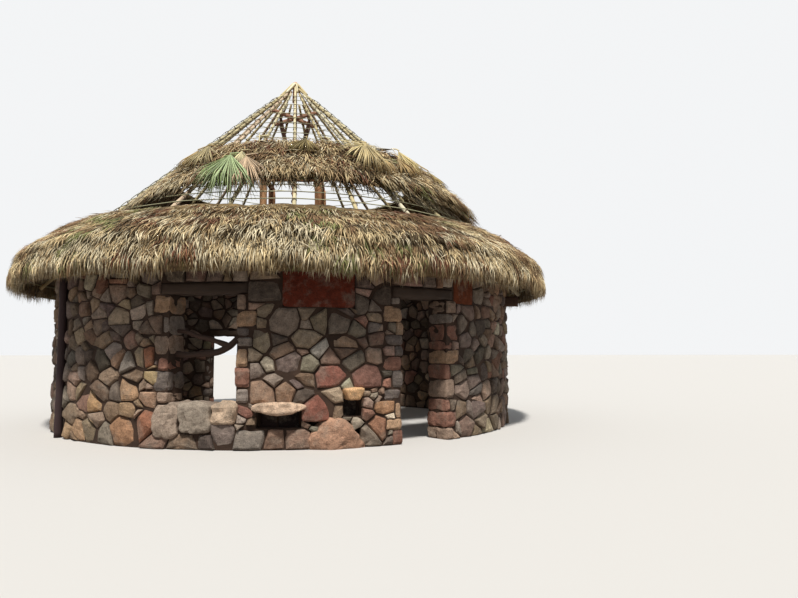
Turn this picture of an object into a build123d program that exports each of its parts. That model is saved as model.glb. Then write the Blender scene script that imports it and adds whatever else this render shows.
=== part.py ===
from build123d import *
import os
from math import cos, sin, tan, radians, sqrt

# Round rubble-stone hut with a conical pole roof that is half thatched.
# Millimetres. Origin at the centre of the wall on the ground, +Z up.
# Azimuths are in degrees: 0 is the front (-Y), 90 the right (+X), 180 the back.

# Wall
wall_outer_radius = 5000
wall_thickness = 450
wall_height = 3520

# Openings in the wall, as azimuth ranges and heights
window_start = -24.0
window_end = -10.3
window_sill_height = 750
window_head_height = 2550
door_start = 22.0
door_end = 34.0
door_head_height = 2550
back_door_start = -164.5
back_door_end = -150.5
back_door_head_height = 2050

# Angles that the wall lengths beside the openings take up, in degrees
wall_front_right_angle = 47
wall_right_angle = 38
wall_back_angle = 41
wall_back_left_angle = 42
wall_front_left_angle = 42

# Stone and timber pieces let into the wall
lintel_height = 200
lintel_bearing = 160
lintel_edge = 15
sill_height = 200
sill_projection = 80
sill_edge = 30
panel_start = -1.9
panel_end = 12.0
panel_bottom = 2340
panel_top = 3020
panel_thickness = 60
panel_edge = 8
side_panel_start = 36.5
side_panel_end = 43.5
side_panel_bottom = 2500
side_panel_top = 3180
boulder_start = 3.2
boulder_end = 14.2
boulder_height = 470
boulder_depth = 300
boulder_projection = 130
boulder_edge = 110
ledge_start = -6.6
ledge_end = 2.0
ledge_bottom = 590
ledge_thickness = 170
ledge_projection = 270
small_ledge_start = 9.8
small_ledge_end = 13.6
small_ledge_bottom = 800
small_ledge_thickness = 190
small_ledge_projection = 160
ledge_edge = 45
niche_depth = 230
niche_height = 240
small_niche_height = 280
beam_end_azimuth = 70
beam_end_size = 230
beam_end_bottom = 2610
beam_end_projection = 320
beam_end_edge = 30

# Roof frame
roof_pitch = 42
plate_diameter = 160
plate_count = 12
plate_joint = 6
rafter_clearance = 25
rafters_per_quarter = 6
rafter_diameter = 100
rafter_tail_radius = 5660
rafter_tail_overhang = 48
batten_diameter = 24
batten_spacing = 260
batten_top_radius = 560

# Timbers inside the roof and the room
centre_pole_diameter = 100
centre_pole_rise = 86
centre_pole_top_edge = 12.5
arm_azimuth = 45
collar_drop = 784
collar_width = 70
collar_depth = 80
brace_foot_gap = 50
brace_foot_depth = 200
brace_head_radius = 480
brace_head_width = 70
brace_thickness = 60
post_diameter = 170
post_height = 5650
post_ring_radius = 900
post_azimuth = 38
rail_width = 110
rail_depth = 100
rail_overhang = 170
eave_post_diameter = 170
eave_post_azimuth = -58
branch_diameter = 110
fork_diameter = 88

# Thatch: lower band with its drooping eave, and the middle band above the gap
eave_radius = 5950
eave_bottom = 2700
eave_nose_height = 3060
eave_shoulder_height = 3420
eave_shoulder_step = 190
eave_fringe_width = 260
lower_top_radius = 4250
lower_top_shift = 400
lower_edge_thickness = 100
lower_full_thickness = 300
lower_courses = 3
lower_shoulder_run = 340
middle_bottom_radius = 4250
middle_bottom_shift = 300
middle_top_radius = 2820
middle_top_shift = 230
middle_thickness = 200
middle_bulge_shift = 187
middle_courses = 4

# Lapped courses of leaves: run of each along the roof's plan, and step at its lower end
course_run = 600
course_step = 50

# Clearance between pieces that rest on each other, and how far a cut runs past a face
fit = 0.3
cut_past = 1

wall_inner_radius = wall_outer_radius - wall_thickness
rafter_count = 4 * rafters_per_quarter
rafter_radius = rafter_diameter / 2
batten_radius = batten_diameter / 2
plate_radius = plate_diameter / 2
pitch_sin = sin(radians(roof_pitch))
pitch_cos = cos(radians(roof_pitch))
pitch_tan = tan(radians(roof_pitch))

# The rafters pass just over the outer top edge of the wall, so the height of the roof
# follows from the wall and the pitch. The round wall plate fills the wedge below them.
apex_height = (
    wall_height + rafter_clearance + wall_outer_radius * pitch_tan + rafter_radius / pitch_cos
)
centre_pole_top = apex_height + centre_pole_rise
collar_height = apex_height - collar_drop
plate_rise = plate_radius + (plate_radius + fit) / pitch_cos - rafter_clearance
plate_ring_radius = wall_outer_radius - plate_rise / pitch_tan

# A cane batten has four sides, so it lies on the rafters with one long edge
batten_reach = batten_radius * (pitch_sin + pitch_cos)
batten_lift = rafter_radius + fit + batten_reach
thatch_lift = batten_lift + batten_reach + fit

os.makedirs("parts", exist_ok=True)


def save(piece, name):
    piece.part.label = name
    export_step(piece.part, f"parts/{name}.step")


def place(azimuth, radius, height):
    # Point at an azimuth, a distance from the axis and a height
    turn = radians(azimuth)
    return Vector(radius * sin(turn), -radius * cos(turn), height)


def radial_plane(azimuth):
    # Upright plane through the axis: local x points outwards, local y up
    turn = radians(azimuth)
    return Plane(origin=(0, 0, 0), x_dir=(sin(turn), -cos(turn), 0), z_dir=(-cos(turn), -sin(turn), 0))


def facing_plane(azimuth, radius, height):
    # Upright plane square to the radius: local x along the wall, local y up, z outwards
    turn = radians(azimuth)
    return Plane(
        origin=place(azimuth, radius, height),
        x_dir=(cos(turn), sin(turn), 0),
        z_dir=(sin(turn), -cos(turn), 0),
    )


def axis_height(radius):
    # Height of a rafter's centre line at a distance from the axis
    return apex_height - radius * pitch_tan


def on_slope(radius, lift):
    # Point (radius, height) that stands square off the rafters' centre lines
    return (radius + lift * pitch_sin, axis_height(radius) + lift * pitch_cos)


def arc_angle(length):
    # Azimuth that a length takes up along the outer face of the wall
    return length / radians(wall_outer_radius)


def add_sector(profile, start, end, mode=Mode.ADD):
    # Turns a closed (radius, height) outline about the axis, from one azimuth to another
    with BuildSketch(radial_plane(start)) as outline:
        with BuildLine():
            Polyline(*profile, close=True)
        make_face()
    revolve(outline.sketch, axis=Axis.Z, revolution_arc=end - start, mode=mode)


def block_profile(inner, outer, bottom, top):
    return [(inner, bottom), (outer, bottom), (outer, top), (inner, top)]


def wall_piece(name, start, end, bottom, top, cuts):
    # Length of wall; every cut is (inner radius, outer radius, bottom, top, start, end)
    with BuildPart() as piece:
        add_sector(block_profile(wall_inner_radius, wall_outer_radius, bottom, top), start, end)
        for inner, outer, low, high, cut_start, cut_end in cuts:
            add_sector(block_profile(inner, outer, low, high), cut_start, cut_end, Mode.SUBTRACT)
    save(piece, name)


def stone_piece(name, start, end, bottom, top, inner, outer, edge):
    # Block that follows the wall's curve, with its long outer edges worn round
    with BuildPart() as piece:
        add_sector(block_profile(inner, outer, bottom, top), start, end)
        chamfer(piece.edges().filter_by(GeomType.CIRCLE).sort_by(SortBy.LENGTH)[-2:], length=edge)
    save(piece, name)


# Wall lengths. Each lintel bears on the wall at both sides, in a pocket of its own size.
bearing = arc_angle(lintel_bearing)
window_lintel = (window_start - bearing, window_end + bearing)
door_lintel = (door_start - bearing, door_end + bearing)
back_door_lintel = (back_door_start - bearing, back_door_end + bearing)


def lintel_pocket(head_height, span):
    return (
        wall_inner_radius - cut_past,
        wall_outer_radius + cut_past,
        head_height,
        head_height + lintel_height,
        span[0],
        span[1],
    )


panel_recess = (
    wall_outer_radius - panel_thickness,
    wall_outer_radius + cut_past,
    panel_bottom,
    panel_top,
    panel_start,
    panel_end,
)
side_panel_recess = (
    wall_outer_radius - panel_thickness,
    wall_outer_radius + cut_past,
    side_panel_bottom,
    side_panel_top,
    side_panel_start,
    side_panel_end,
)
boulder_pocket = (
    wall_outer_radius - boulder_depth,
    wall_outer_radius + cut_past,
    -cut_past,
    boulder_height,
    boulder_start,
    boulder_end,
)
ledge_pocket = (
    wall_outer_radius - niche_depth,
    wall_outer_radius + cut_past,
    ledge_bottom - niche_height,
    ledge_bottom + ledge_thickness,
    ledge_start,
    ledge_end,
)
small_ledge_pocket = (
    wall_outer_radius - niche_depth,
    wall_outer_radius + cut_past,
    small_ledge_bottom - small_niche_height,
    small_ledge_bottom + small_ledge_thickness,
    small_ledge_start,
    small_ledge_end,
)
beam_half_angle = arc_angle(beam_end_size) / 2
beam_pocket = (
    wall_inner_radius - cut_past,
    wall_outer_radius + cut_past,
    beam_end_bottom,
    beam_end_bottom + beam_end_size,
    beam_end_azimuth - beam_half_angle,
    beam_end_azimuth + beam_half_angle,
)

right_joint = door_end + wall_front_right_angle
right_back_joint = right_joint + wall_right_angle
back_joint = 360 + back_door_start - wall_back_angle
left_back_joint = back_door_end + wall_back_left_angle
left_joint = window_start - wall_front_left_angle

wall_piece(
    "wall_front",
    window_end,
    door_start,
    0,
    wall_height,
    [
        lintel_pocket(window_head_height, window_lintel),
        lintel_pocket(door_head_height, door_lintel),
        panel_recess,
        boulder_pocket,
        ledge_pocket,
        small_ledge_pocket,
    ],
)
wall_piece(
    "wall_front_right",
    door_end,
    right_joint,
    0,
    wall_height,
    [lintel_pocket(door_head_height, door_lintel), side_panel_recess, beam_pocket],
)
wall_piece("wall_right", right_joint, right_back_joint, 0, wall_height, [])
wall_piece("wall_back_right", right_back_joint, back_joint, 0, wall_height, [])
wall_piece(
    "wall_back",
    back_joint,
    360 + back_door_start,
    0,
    wall_height,
    [lintel_pocket(back_door_head_height, (360 + back_door_lintel[0], 360 + back_door_lintel[1]))],
)
wall_piece(
    "wall_back_left",
    back_door_end,
    left_back_joint,
    0,
    wall_height,
    [lintel_pocket(back_door_head_height, back_door_lintel)],
)
wall_piece("wall_left", left_back_joint, left_joint, 0, wall_height, [])
wall_piece(
    "wall_front_left",
    left_joint,
    window_start,
    0,
    wall_height,
    [lintel_pocket(window_head_height, window_lintel)],
)
wall_piece("window_apron", window_start, window_end, 0, window_sill_height - sill_height, [])


def head_and_lintel(name, head_height, start, end, span):
    # Lintel across an opening, with the wall that it carries above
    stone_piece(
        f"{name}_lintel",
        span[0],
        span[1],
        head_height,
        head_height + lintel_height,
        wall_inner_radius,
        wall_outer_radius,
        lintel_edge,
    )
    wall_piece(f"wall_over_{name}", start, end, head_height + lintel_height, wall_height, [])


head_and_lintel("window", window_head_height, window_start, window_end, window_lintel)
head_and_lintel("door", door_head_height, door_start, door_end, door_lintel)
head_and_lintel("back_door", back_door_head_height, back_door_start, back_door_end, back_door_lintel)

# Blocks that stand proud of the wall, and the flush panels under the eave
stone_piece(
    "window_sill",
    window_start,
    window_end,
    window_sill_height - sill_height,
    window_sill_height,
    wall_inner_radius,
    wall_outer_radius + sill_projection,
    sill_edge,
)
stone_piece(
    "base_boulder",
    boulder_start,
    boulder_end,
    0,
    boulder_height,
    wall_outer_radius - boulder_depth,
    wall_outer_radius + boulder_projection,
    boulder_edge,
)
stone_piece(
    "ledge_stone",
    ledge_start,
    ledge_end,
    ledge_bottom,
    ledge_bottom + ledge_thickness,
    wall_outer_radius - niche_depth,
    wall_outer_radius + ledge_projection,
    ledge_edge,
)
stone_piece(
    "small_ledge_stone",
    small_ledge_start,
    small_ledge_end,
    small_ledge_bottom,
    small_ledge_bottom + small_ledge_thickness,
    wall_outer_radius - niche_depth,
    wall_outer_radius + small_ledge_projection,
    ledge_edge,
)
stone_piece(
    "red_panel",
    panel_start,
    panel_end,
    panel_bottom,
    panel_top,
    wall_outer_radius - panel_thickness,
    wall_outer_radius,
    panel_edge,
)
stone_piece(
    "side_panel",
    side_panel_start,
    side_panel_end,
    side_panel_bottom,
    side_panel_top,
    wall_outer_radius - panel_thickness,
    wall_outer_radius,
    panel_edge,
)
stone_piece(
    "beam_end",
    beam_end_azimuth - beam_half_angle,
    beam_end_azimuth + beam_half_angle,
    beam_end_bottom,
    beam_end_bottom + beam_end_size,
    wall_inner_radius,
    wall_outer_radius + beam_end_projection,
    beam_end_edge,
)

# Gnarled branch wedged across the window, forked towards the left
window_middle = (window_start + window_end) / 2
branch_path = [(-9.0, 1560), (-0.5, 1570), (4.6, 1690), (9.0, 1960)]
fork_path = [(-9.0, 1990), (-2.0, 1860), (4.6, 1690)]
branch_radius = branch_diameter / 2
branch_ring_radius = wall_outer_radius - wall_thickness / 2
fit_angle = fit / radians(wall_outer_radius) * 2
with BuildPart() as window_branch:
    for path, thickness in ((branch_path, branch_radius), (fork_path, fork_diameter / 2)):
        points = [place(window_middle + turn, branch_ring_radius, height) for turn, height in path]
        for first, second in zip(points, points[1:]):
            limb = second - first
            with BuildSketch(Plane(origin=first, z_dir=limb)):
                Circle(thickness)
            extrude(amount=limb.length)
        for point in points[1:-1]:
            with Locations(point):
                Sphere(thickness)
    add_sector(
        block_profile(wall_inner_radius, wall_outer_radius, window_sill_height, window_head_height),
        window_start + fit_angle,
        window_end - fit_angle,
        Mode.INTERSECT,
    )
save(window_branch, "window_branch")

# Round wall plate in curved lengths with open joints
plate_height = wall_height + plate_radius
joint_angle = plate_joint / radians(plate_ring_radius)
with BuildPart() as wall_plate:
    for index in range(plate_count):
        start = index * 360 / plate_count
        with BuildSketch(radial_plane(start)) as plate_section:
            with Locations((plate_ring_radius, plate_height)):
                Circle(plate_radius)
        revolve(
            plate_section.sketch,
            axis=Axis.Z,
            revolution_arc=360 / plate_count - joint_angle,
        )
save(wall_plate, "wall_plate")


def rafter_start(place_in_quarter):
    # A pole stops where it would run into the neighbour that goes further up
    if place_in_quarter == 0:
        neighbour = radians(90)
    elif place_in_quarter * 2 == rafters_per_quarter:
        neighbour = radians(45)
    else:
        neighbour = radians(360 / rafter_count)
    clear = rafter_radius * (1 + cos(neighbour)) / sin(neighbour)
    return max(clear, centre_pole_diameter / 2) + fit


def slope_direction(azimuth):
    # Direction down the roof
    turn = radians(azimuth)
    return Vector(pitch_cos * sin(turn), -pitch_cos * cos(turn), -pitch_sin)


# Rafter poles, in four groups, cut plumb at both ends
group_names = ("front", "right", "back", "left")
for quarter, group_name in enumerate(group_names):
    with BuildPart() as rafters:
        for number in range(rafters_per_quarter):
            position = number - rafters_per_quarter // 2
            azimuth = quarter * 90 + position * 360 / rafter_count
            start_radius = rafter_start(position % rafters_per_quarter)
            top_plane = facing_plane(azimuth, start_radius, axis_height(start_radius))
            with BuildSketch(top_plane) as pole_section:
                Ellipse(rafter_radius, rafter_radius / pitch_cos)
            extrude(
                pole_section.sketch,
                amount=(rafter_tail_radius - start_radius) / pitch_cos,
                dir=slope_direction(azimuth),
            )
    save(rafters, f"rafters_{group_name}")

# Cane battens tied across the rafters, ring above ring
batten_step = batten_spacing * pitch_cos
lowest_batten = rafter_tail_radius - rafter_tail_overhang
batten_rows = int((lowest_batten - batten_top_radius) / batten_step) + 1
row_radii = [lowest_batten - row * batten_step for row in range(batten_rows)]
lower_limit = lower_top_radius + lower_top_shift
batten_groups = {
    "battens_lower": [r for r in row_radii if r > lower_limit],
    "battens_middle": [r for r in row_radii if middle_top_radius < r <= lower_limit],
    "battens_upper": [r for r in row_radii if r <= middle_top_radius],
}
for group_name, radii in batten_groups.items():
    with BuildPart() as battens:
        for row_radius in radii:
            cane_radius, cane_height = on_slope(row_radius, batten_lift)
            with BuildSketch(Plane.XY.offset(cane_height - batten_radius)) as cane_ring:
                RegularPolygon(cane_radius + batten_radius, rafter_count)
                RegularPolygon(cane_radius - batten_radius, rafter_count, mode=Mode.SUBTRACT)
            extrude(cane_ring.sketch, amount=batten_diameter)
    save(battens, group_name)

# Centre pole from the ground to above the rafter tops
with BuildPart() as centre_pole:
    with BuildSketch():
        Circle(centre_pole_diameter / 2)
    extrude(amount=centre_pole_top)
    chamfer(centre_pole.edges().sort_by(Axis.Z)[-1], length=centre_pole_top_edge)
save(centre_pole, "centre_pole")

# Four collar arms from the pole to the undersides of the diagonal rafters
pole_side = centre_pole_diameter / 2 + fit
rafter_under = rafter_radius + fit
arm_end = (apex_height - rafter_under / pitch_cos - collar_height) / pitch_tan
with BuildPart() as collar_arms:
    for quarter in range(4):
        with BuildSketch(radial_plane(arm_azimuth + 90 * quarter)) as arm_side:
            with BuildLine():
                Polyline(
                    *block_profile(pole_side, arm_end, collar_height - collar_depth, collar_height),
                    close=True,
                )
            make_face()
        extrude(arm_side.sketch, amount=collar_width / 2, both=True)
save(collar_arms, "collar_arms")

# Braces from the pole, just above the upper rails, up to the arms
rails_top = post_height + 2 * rail_depth + fit
brace_foot_height = rails_top + brace_foot_gap
with BuildPart() as collar_braces:
    for quarter in range(4):
        arm_under = collar_height - collar_depth - fit
        with BuildSketch(radial_plane(arm_azimuth + 90 * quarter)) as brace_side:
            with BuildLine():
                Polyline(
                    (pole_side, brace_foot_height),
                    (brace_head_radius + brace_head_width, arm_under),
                    (brace_head_radius, arm_under),
                    (pole_side, brace_foot_height + brace_foot_depth),
                    close=True,
                )
            make_face()
        extrude(brace_side.sketch, amount=brace_thickness / 2, both=True)
save(collar_braces, "collar_braces")

# Four posts round the centre pole
with BuildPart() as tower_posts:
    with BuildSketch():
        with PolarLocations(post_ring_radius, 4, start_angle=post_azimuth - 90):
            Circle(post_diameter / 2)
    extrude(amount=post_height)
save(tower_posts, "tower_posts")

# One pair of rails lies on the post tops, and a pair across them clamps the pole
post_offset = post_ring_radius / sqrt(2)
clamp_offset = centre_pole_diameter / 2 + fit + rail_width / 2
rail_length = 2 * (post_offset + rail_overhang)
with BuildPart() as tower_rails:
    for layer, offset in enumerate((post_offset, clamp_offset)):
        rail_turn = post_azimuth - 45 + layer * 90
        across = radians(rail_turn)
        with BuildSketch(Plane.XY.offset(post_height + layer * (rail_depth + fit))):
            with Locations(
                (offset * cos(across), offset * sin(across)),
                (-offset * cos(across), -offset * sin(across)),
            ):
                Rectangle(rail_width, rail_length, rotation=rail_turn)
        extrude(amount=rail_depth)
save(tower_rails, "tower_rails")

# Post under the eave, beside the wall
eave_post_ring = wall_outer_radius + fit + eave_post_diameter / 2
eave_post_top = axis_height(eave_post_ring) - rafter_under / pitch_cos - rafter_diameter
with BuildPart() as eave_post:
    with BuildSketch():
        with Locations(place(eave_post_azimuth, eave_post_ring, 0)):
            Circle(eave_post_diameter / 2)
    extrude(amount=eave_post_top)
save(eave_post, "eave_post")


def edge_cutter(radius, shift, mode):
    # Upright round cutter whose axis is moved towards the front by the shift
    with BuildSketch(Plane.XY) as circle:
        with Locations((0, -shift)):
            Circle(radius)
    extrude(circle.sketch, amount=centre_pole_top, mode=mode)


def course_face(start, courses, first_lift, last_lift):
    # Outer face of lapped courses, each a step thicker at its lower end than the next
    points = []
    for course in range(courses):
        for edge, rise in ((course, -course_step / 2), (course + 1, course_step / 2)):
            lift = first_lift + (last_lift - first_lift) * edge / courses
            points.append(on_slope(start + course_run * edge, lift + rise))
    return points


# Outline of the lower band: along the battens, round the drooping eave, up the outer face
lower_start = eave_radius - eave_shoulder_step - lower_shoulder_run - lower_courses * course_run
lower_end = rafter_tail_radius - batten_radius
lower_outline = [
    on_slope(lower_start, thatch_lift),
    on_slope(lower_end, thatch_lift),
    (eave_radius - eave_fringe_width, eave_bottom + eave_fringe_width / 3),
    (eave_radius - eave_fringe_width / 2, eave_bottom),
    (eave_radius, eave_bottom + eave_fringe_width / 3),
    (eave_radius, eave_nose_height),
    (eave_radius - eave_shoulder_step, eave_shoulder_height),
    *reversed(
        course_face(
            lower_start,
            lower_courses,
            thatch_lift + lower_edge_thickness,
            thatch_lift + lower_full_thickness,
        )
    ),
]
for quarter, group_name in enumerate(group_names):
    with BuildPart() as lower_thatch:
        add_sector(lower_outline, quarter * 90 - 45, quarter * 90 + 45)
        edge_cutter(lower_top_radius, lower_top_shift, Mode.SUBTRACT)
    save(lower_thatch, f"lower_thatch_{group_name}")

# Middle band: fuller on the right, open above and below
def add_cone(lift, mode=Mode.ADD):
    # Solid cone whose slope runs at one distance above the rafters' centre lines
    foot = on_slope(eave_radius, lift)
    with BuildSketch(Plane.XZ) as half_outline:
        with BuildLine():
            Polyline((0, foot[1]), foot, (0, axis_height(0) + lift / pitch_cos), close=True)
        make_face()
    revolve(half_outline.sketch, axis=Axis.Z, mode=mode)


# The courses of the middle band are counted up the roof from the foot of its cover
cover_lift = thatch_lift + middle_thickness
cover_start = middle_bottom_radius - middle_courses * course_run + course_run / 2
cover_outline = course_face(cover_start, middle_courses, cover_lift, cover_lift)
cover_outline.insert(0, (0, cover_outline[0][1]))
cover_radius = cover_outline[-1][0]
cover_outline.append((cover_radius, axis_height(cover_radius)))
cover_outline.append((0, axis_height(cover_radius)))
with BuildPart() as middle_cover:
    add_sector(cover_outline, 0, 360)
bulged_cover = middle_cover.part.moved(Location((middle_bulge_shift, 0, 0)))
for quarter, group_name in enumerate(group_names):
    with BuildPart() as middle_thatch:
        add(bulged_cover)
        add_cone(thatch_lift, Mode.SUBTRACT)
        edge_cutter(middle_top_radius, -middle_top_shift, Mode.SUBTRACT)
        edge_cutter(middle_bottom_radius, -middle_bottom_shift, Mode.INTERSECT)
        edge_cutter(lower_top_radius - fit, lower_top_shift, Mode.INTERSECT)
        add_sector(
            block_profile(0, 2 * eave_radius, 0, centre_pole_top),
            quarter * 90 - 45,
            quarter * 90 + 45,
            Mode.INTERSECT,
        )
    save(middle_thatch, f"middle_thatch_{group_name}")

print("apex of the rafter centre lines", round(apex_height))
print("batten rows", batten_rows)
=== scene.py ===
# %% [markdown]
# A round hut of rubble stone, about ten metres across, whose conical pole roof is
# being thatched with fan-palm leaves. The CAD model holds the wall, the timbers and
# plain solids for the thatch; this script loads it as a fixed frame and dresses it.

# %% Load the frame
import math

import bpy
import numpy as np
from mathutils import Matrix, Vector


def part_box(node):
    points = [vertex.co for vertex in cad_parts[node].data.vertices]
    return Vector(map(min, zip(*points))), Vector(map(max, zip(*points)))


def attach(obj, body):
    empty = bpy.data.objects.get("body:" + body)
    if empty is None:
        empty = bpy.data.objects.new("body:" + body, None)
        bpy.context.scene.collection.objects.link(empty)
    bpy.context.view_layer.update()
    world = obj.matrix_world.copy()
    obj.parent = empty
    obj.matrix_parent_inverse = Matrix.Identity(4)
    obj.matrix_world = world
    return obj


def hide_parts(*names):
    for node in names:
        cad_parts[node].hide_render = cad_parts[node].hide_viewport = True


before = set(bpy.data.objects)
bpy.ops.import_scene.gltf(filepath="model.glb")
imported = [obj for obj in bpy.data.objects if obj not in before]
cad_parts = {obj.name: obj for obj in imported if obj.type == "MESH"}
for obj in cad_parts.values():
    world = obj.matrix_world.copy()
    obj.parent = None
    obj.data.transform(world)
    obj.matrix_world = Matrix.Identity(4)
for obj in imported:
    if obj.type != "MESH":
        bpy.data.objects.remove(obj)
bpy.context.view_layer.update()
print("nodes in the frame:", len(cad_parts))

# %% [markdown]
# Most places on the hut are easiest to say as an azimuth, a distance from the axis
# and a height. The driving sizes are read from the frame's own boxes, so that every
# new piece meets the timber or stone that carries it.

# %% Sizes read from the frame
quarters = ("front", "right", "back", "left")
wall_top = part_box("wall_right")[1][2]
wall_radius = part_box("wall_right")[1][0]
wall_thickness = 0.45
wall_inner = wall_radius - wall_thickness
pitch = math.radians(42)
rafter_radius = 0.05
rafter_tail = -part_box("rafters_front")[0][1]
rafter_apex = (
    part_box("rafters_front")[0][2]
    + rafter_tail * math.tan(pitch)
    + rafter_radius / math.cos(pitch)
)
rafter_count = 24
girth = 2 * math.pi * wall_radius
print("wall radius", round(wall_radius, 3), "rafter apex", round(rafter_apex, 3))


def place(azimuth, radius, height):
    """Points at azimuths in radians (0 is the front, quarter turn the right)."""
    azimuth, radius, height = np.broadcast_arrays(azimuth, radius, height)
    return np.stack([radius * np.sin(azimuth), -radius * np.cos(azimuth), height], -1)


def on_slope(run, lift):
    """Radius and height of a point that stands `lift` square off the rafters' centre
    lines, above the point of the line that is `run` from the axis."""
    radius = run + lift * math.sin(pitch)
    height = rafter_apex - run * math.tan(pitch) + lift * math.cos(pitch)
    return radius, height


def even_turns(count):
    """So many angles in even steps round a circle, from zero."""
    return np.arange(count) * 2 * math.pi / count


# %% [markdown]
# Nothing on a hand-made hut is straight or even, so every shape below is disturbed
# by the same smooth noise: random numbers on the corners of a grid of cubes, blended
# in between. Working it out here, and not in a texture, moves the real surface.

# %% Smooth noise for shapes
def corner_value(x, y, z, seed):
    """A fixed random number from 0 to 1 for whole numbers x, y, z: the three are
    multiplied by large primes, mixed by exclusive or, and cut to sixteen bits."""
    mixed = x * 73856093 ^ y * 19349663 ^ z * 83492791 ^ seed * 2654435761
    mixed = (mixed ^ (mixed >> 13)) * 1274126177 & 0x7FFFFFFF
    return ((mixed ^ (mixed >> 16)) & 0xFFFF) / 65535.0


def noise(points, size, seed=1):
    """Noise from -1 to 1: the eight corner values round each point, mixed in
    proportion to the smoothed distance from each corner."""
    scaled = np.asarray(points) / size
    cell = np.floor(scaled).astype(np.int64)
    part = scaled - cell
    part = part * part * (3 - 2 * part)
    total = np.zeros(scaled.shape[:-1])
    for corner in range(8):
        step = np.array([corner & 1, corner >> 1 & 1, corner >> 2 & 1])
        share = np.prod(np.where(step, part, 1 - part), axis=-1)
        at = cell + step
        total += share * corner_value(at[..., 0], at[..., 1], at[..., 2], seed)
    return 2 * total - 1


values = noise(np.linspace(0, 5, 200)[:, None] * [1.0, 0.6, 0.3], 0.4)
print("noise along a line runs from", values.min().round(2), "to", values.max().round(2))

# %% [markdown]
# Blender could hold every stone and leaf as an object of its own, but tens of
# thousands of objects are slow. So each new piece is one joined mesh from arrays:
# corner positions, faces of four and of three corners, and one colour per corner. A
# stone or a leaf keeps its own colour without a picture, because its finish reads it.

# %% From arrays to a mesh piece
pieces_made = {}


def add_piece(
    name, corners, quads, triangles, colours, material, replaced=(), smooth=True, fibre=None
):
    """Makes the mesh from the arrays, stores the colours, and rides it on the hut. Split
    stone is shaded flat, and logs also store the place of each corner in the wood.
    Nothing reaches below the ground."""
    corners = np.array(corners, dtype=float)
    corners[:, 2] = np.maximum(corners[:, 2], 0.0)
    quads = np.asarray(quads, dtype=np.int32).reshape(-1, 4)
    triangles = np.asarray(triangles, dtype=np.int32).reshape(-1, 3)
    mesh = bpy.data.meshes.new(name)
    mesh.vertices.add(len(corners))
    mesh.vertices.foreach_set("co", corners.astype(np.float32).ravel())
    loops = np.concatenate([quads.ravel(), triangles.ravel()])
    mesh.loops.add(len(loops))
    mesh.loops.foreach_set("vertex_index", loops)
    starts = np.concatenate(
        [np.arange(len(quads)) * 4, len(quads) * 4 + np.arange(len(triangles)) * 3]
    )
    mesh.polygons.add(len(starts))
    mesh.polygons.foreach_set("loop_start", starts.astype(np.int32))
    mesh.polygons.foreach_set("use_smooth", np.full(len(starts), smooth))
    mesh.update(calc_edges=True)
    tint = mesh.color_attributes.new("tint", "FLOAT_COLOR", "POINT")
    rgba = np.ones((len(corners), 4), dtype=np.float32)
    rgba[:, :3] = colours
    tint.data.foreach_set("color", rgba.ravel())
    if fibre is not None:
        stored = mesh.attributes.new("fibre", "FLOAT_VECTOR", "POINT")
        stored.data.foreach_set("vector", np.asarray(fibre, dtype=np.float32).ravel())
    mesh.materials.append(material)
    piece = bpy.data.objects.new(name, mesh)
    bpy.context.collection.objects.link(piece)
    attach(piece, "root")
    if replaced:
        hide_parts(*replaced)
    pieces_made[name] = 2 * len(quads) + len(triangles)
    print(name, "triangles", pieces_made[name])
    return piece


def repeat_faces(faces, copies, corners_each):
    """The faces of one copy, repeated with the corner numbers of every copy."""
    faces = np.asarray(faces)
    shifts = np.arange(copies)[:, None, None] * corners_each
    return (faces[None] + shifts).reshape(-1, faces.shape[1])


# %% [markdown]
# Poles, canes, cords and stems are tubes. Curve objects could carry them, but there are
# hundreds of them, so a ring of corners is carried along many paths at once. A mesh is
# then turned right side out as a whole, by the sign of the volume that it encloses.

# %% Tubes
def tube_faces(rings, sides, closed=False):
    """Side faces of a tube of rings, and the two end caps as fans round extra corners
    that follow the rings; a closed tube joins its last ring to its first."""
    ring = np.arange(rings if closed else rings - 1)[:, None]
    side = np.arange(sides)[None, :]
    after = (ring + 1) % rings
    turn = (side + 1) % sides
    quads = np.stack(
        [ring * sides + side, ring * sides + turn, after * sides + turn, after * sides + side], -1
    ).reshape(-1, 4)
    if closed:
        return quads, np.zeros((0, 3), dtype=int)
    around = np.arange(sides)
    onward = (around + 1) % sides
    last = (rings - 1) * sides
    foot = np.stack([np.full(sides, rings * sides), onward, around], -1)
    head = np.stack([np.full(sides, rings * sides + 1), last + around, last + onward], -1)
    return quads, np.concatenate([foot, head])


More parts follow.
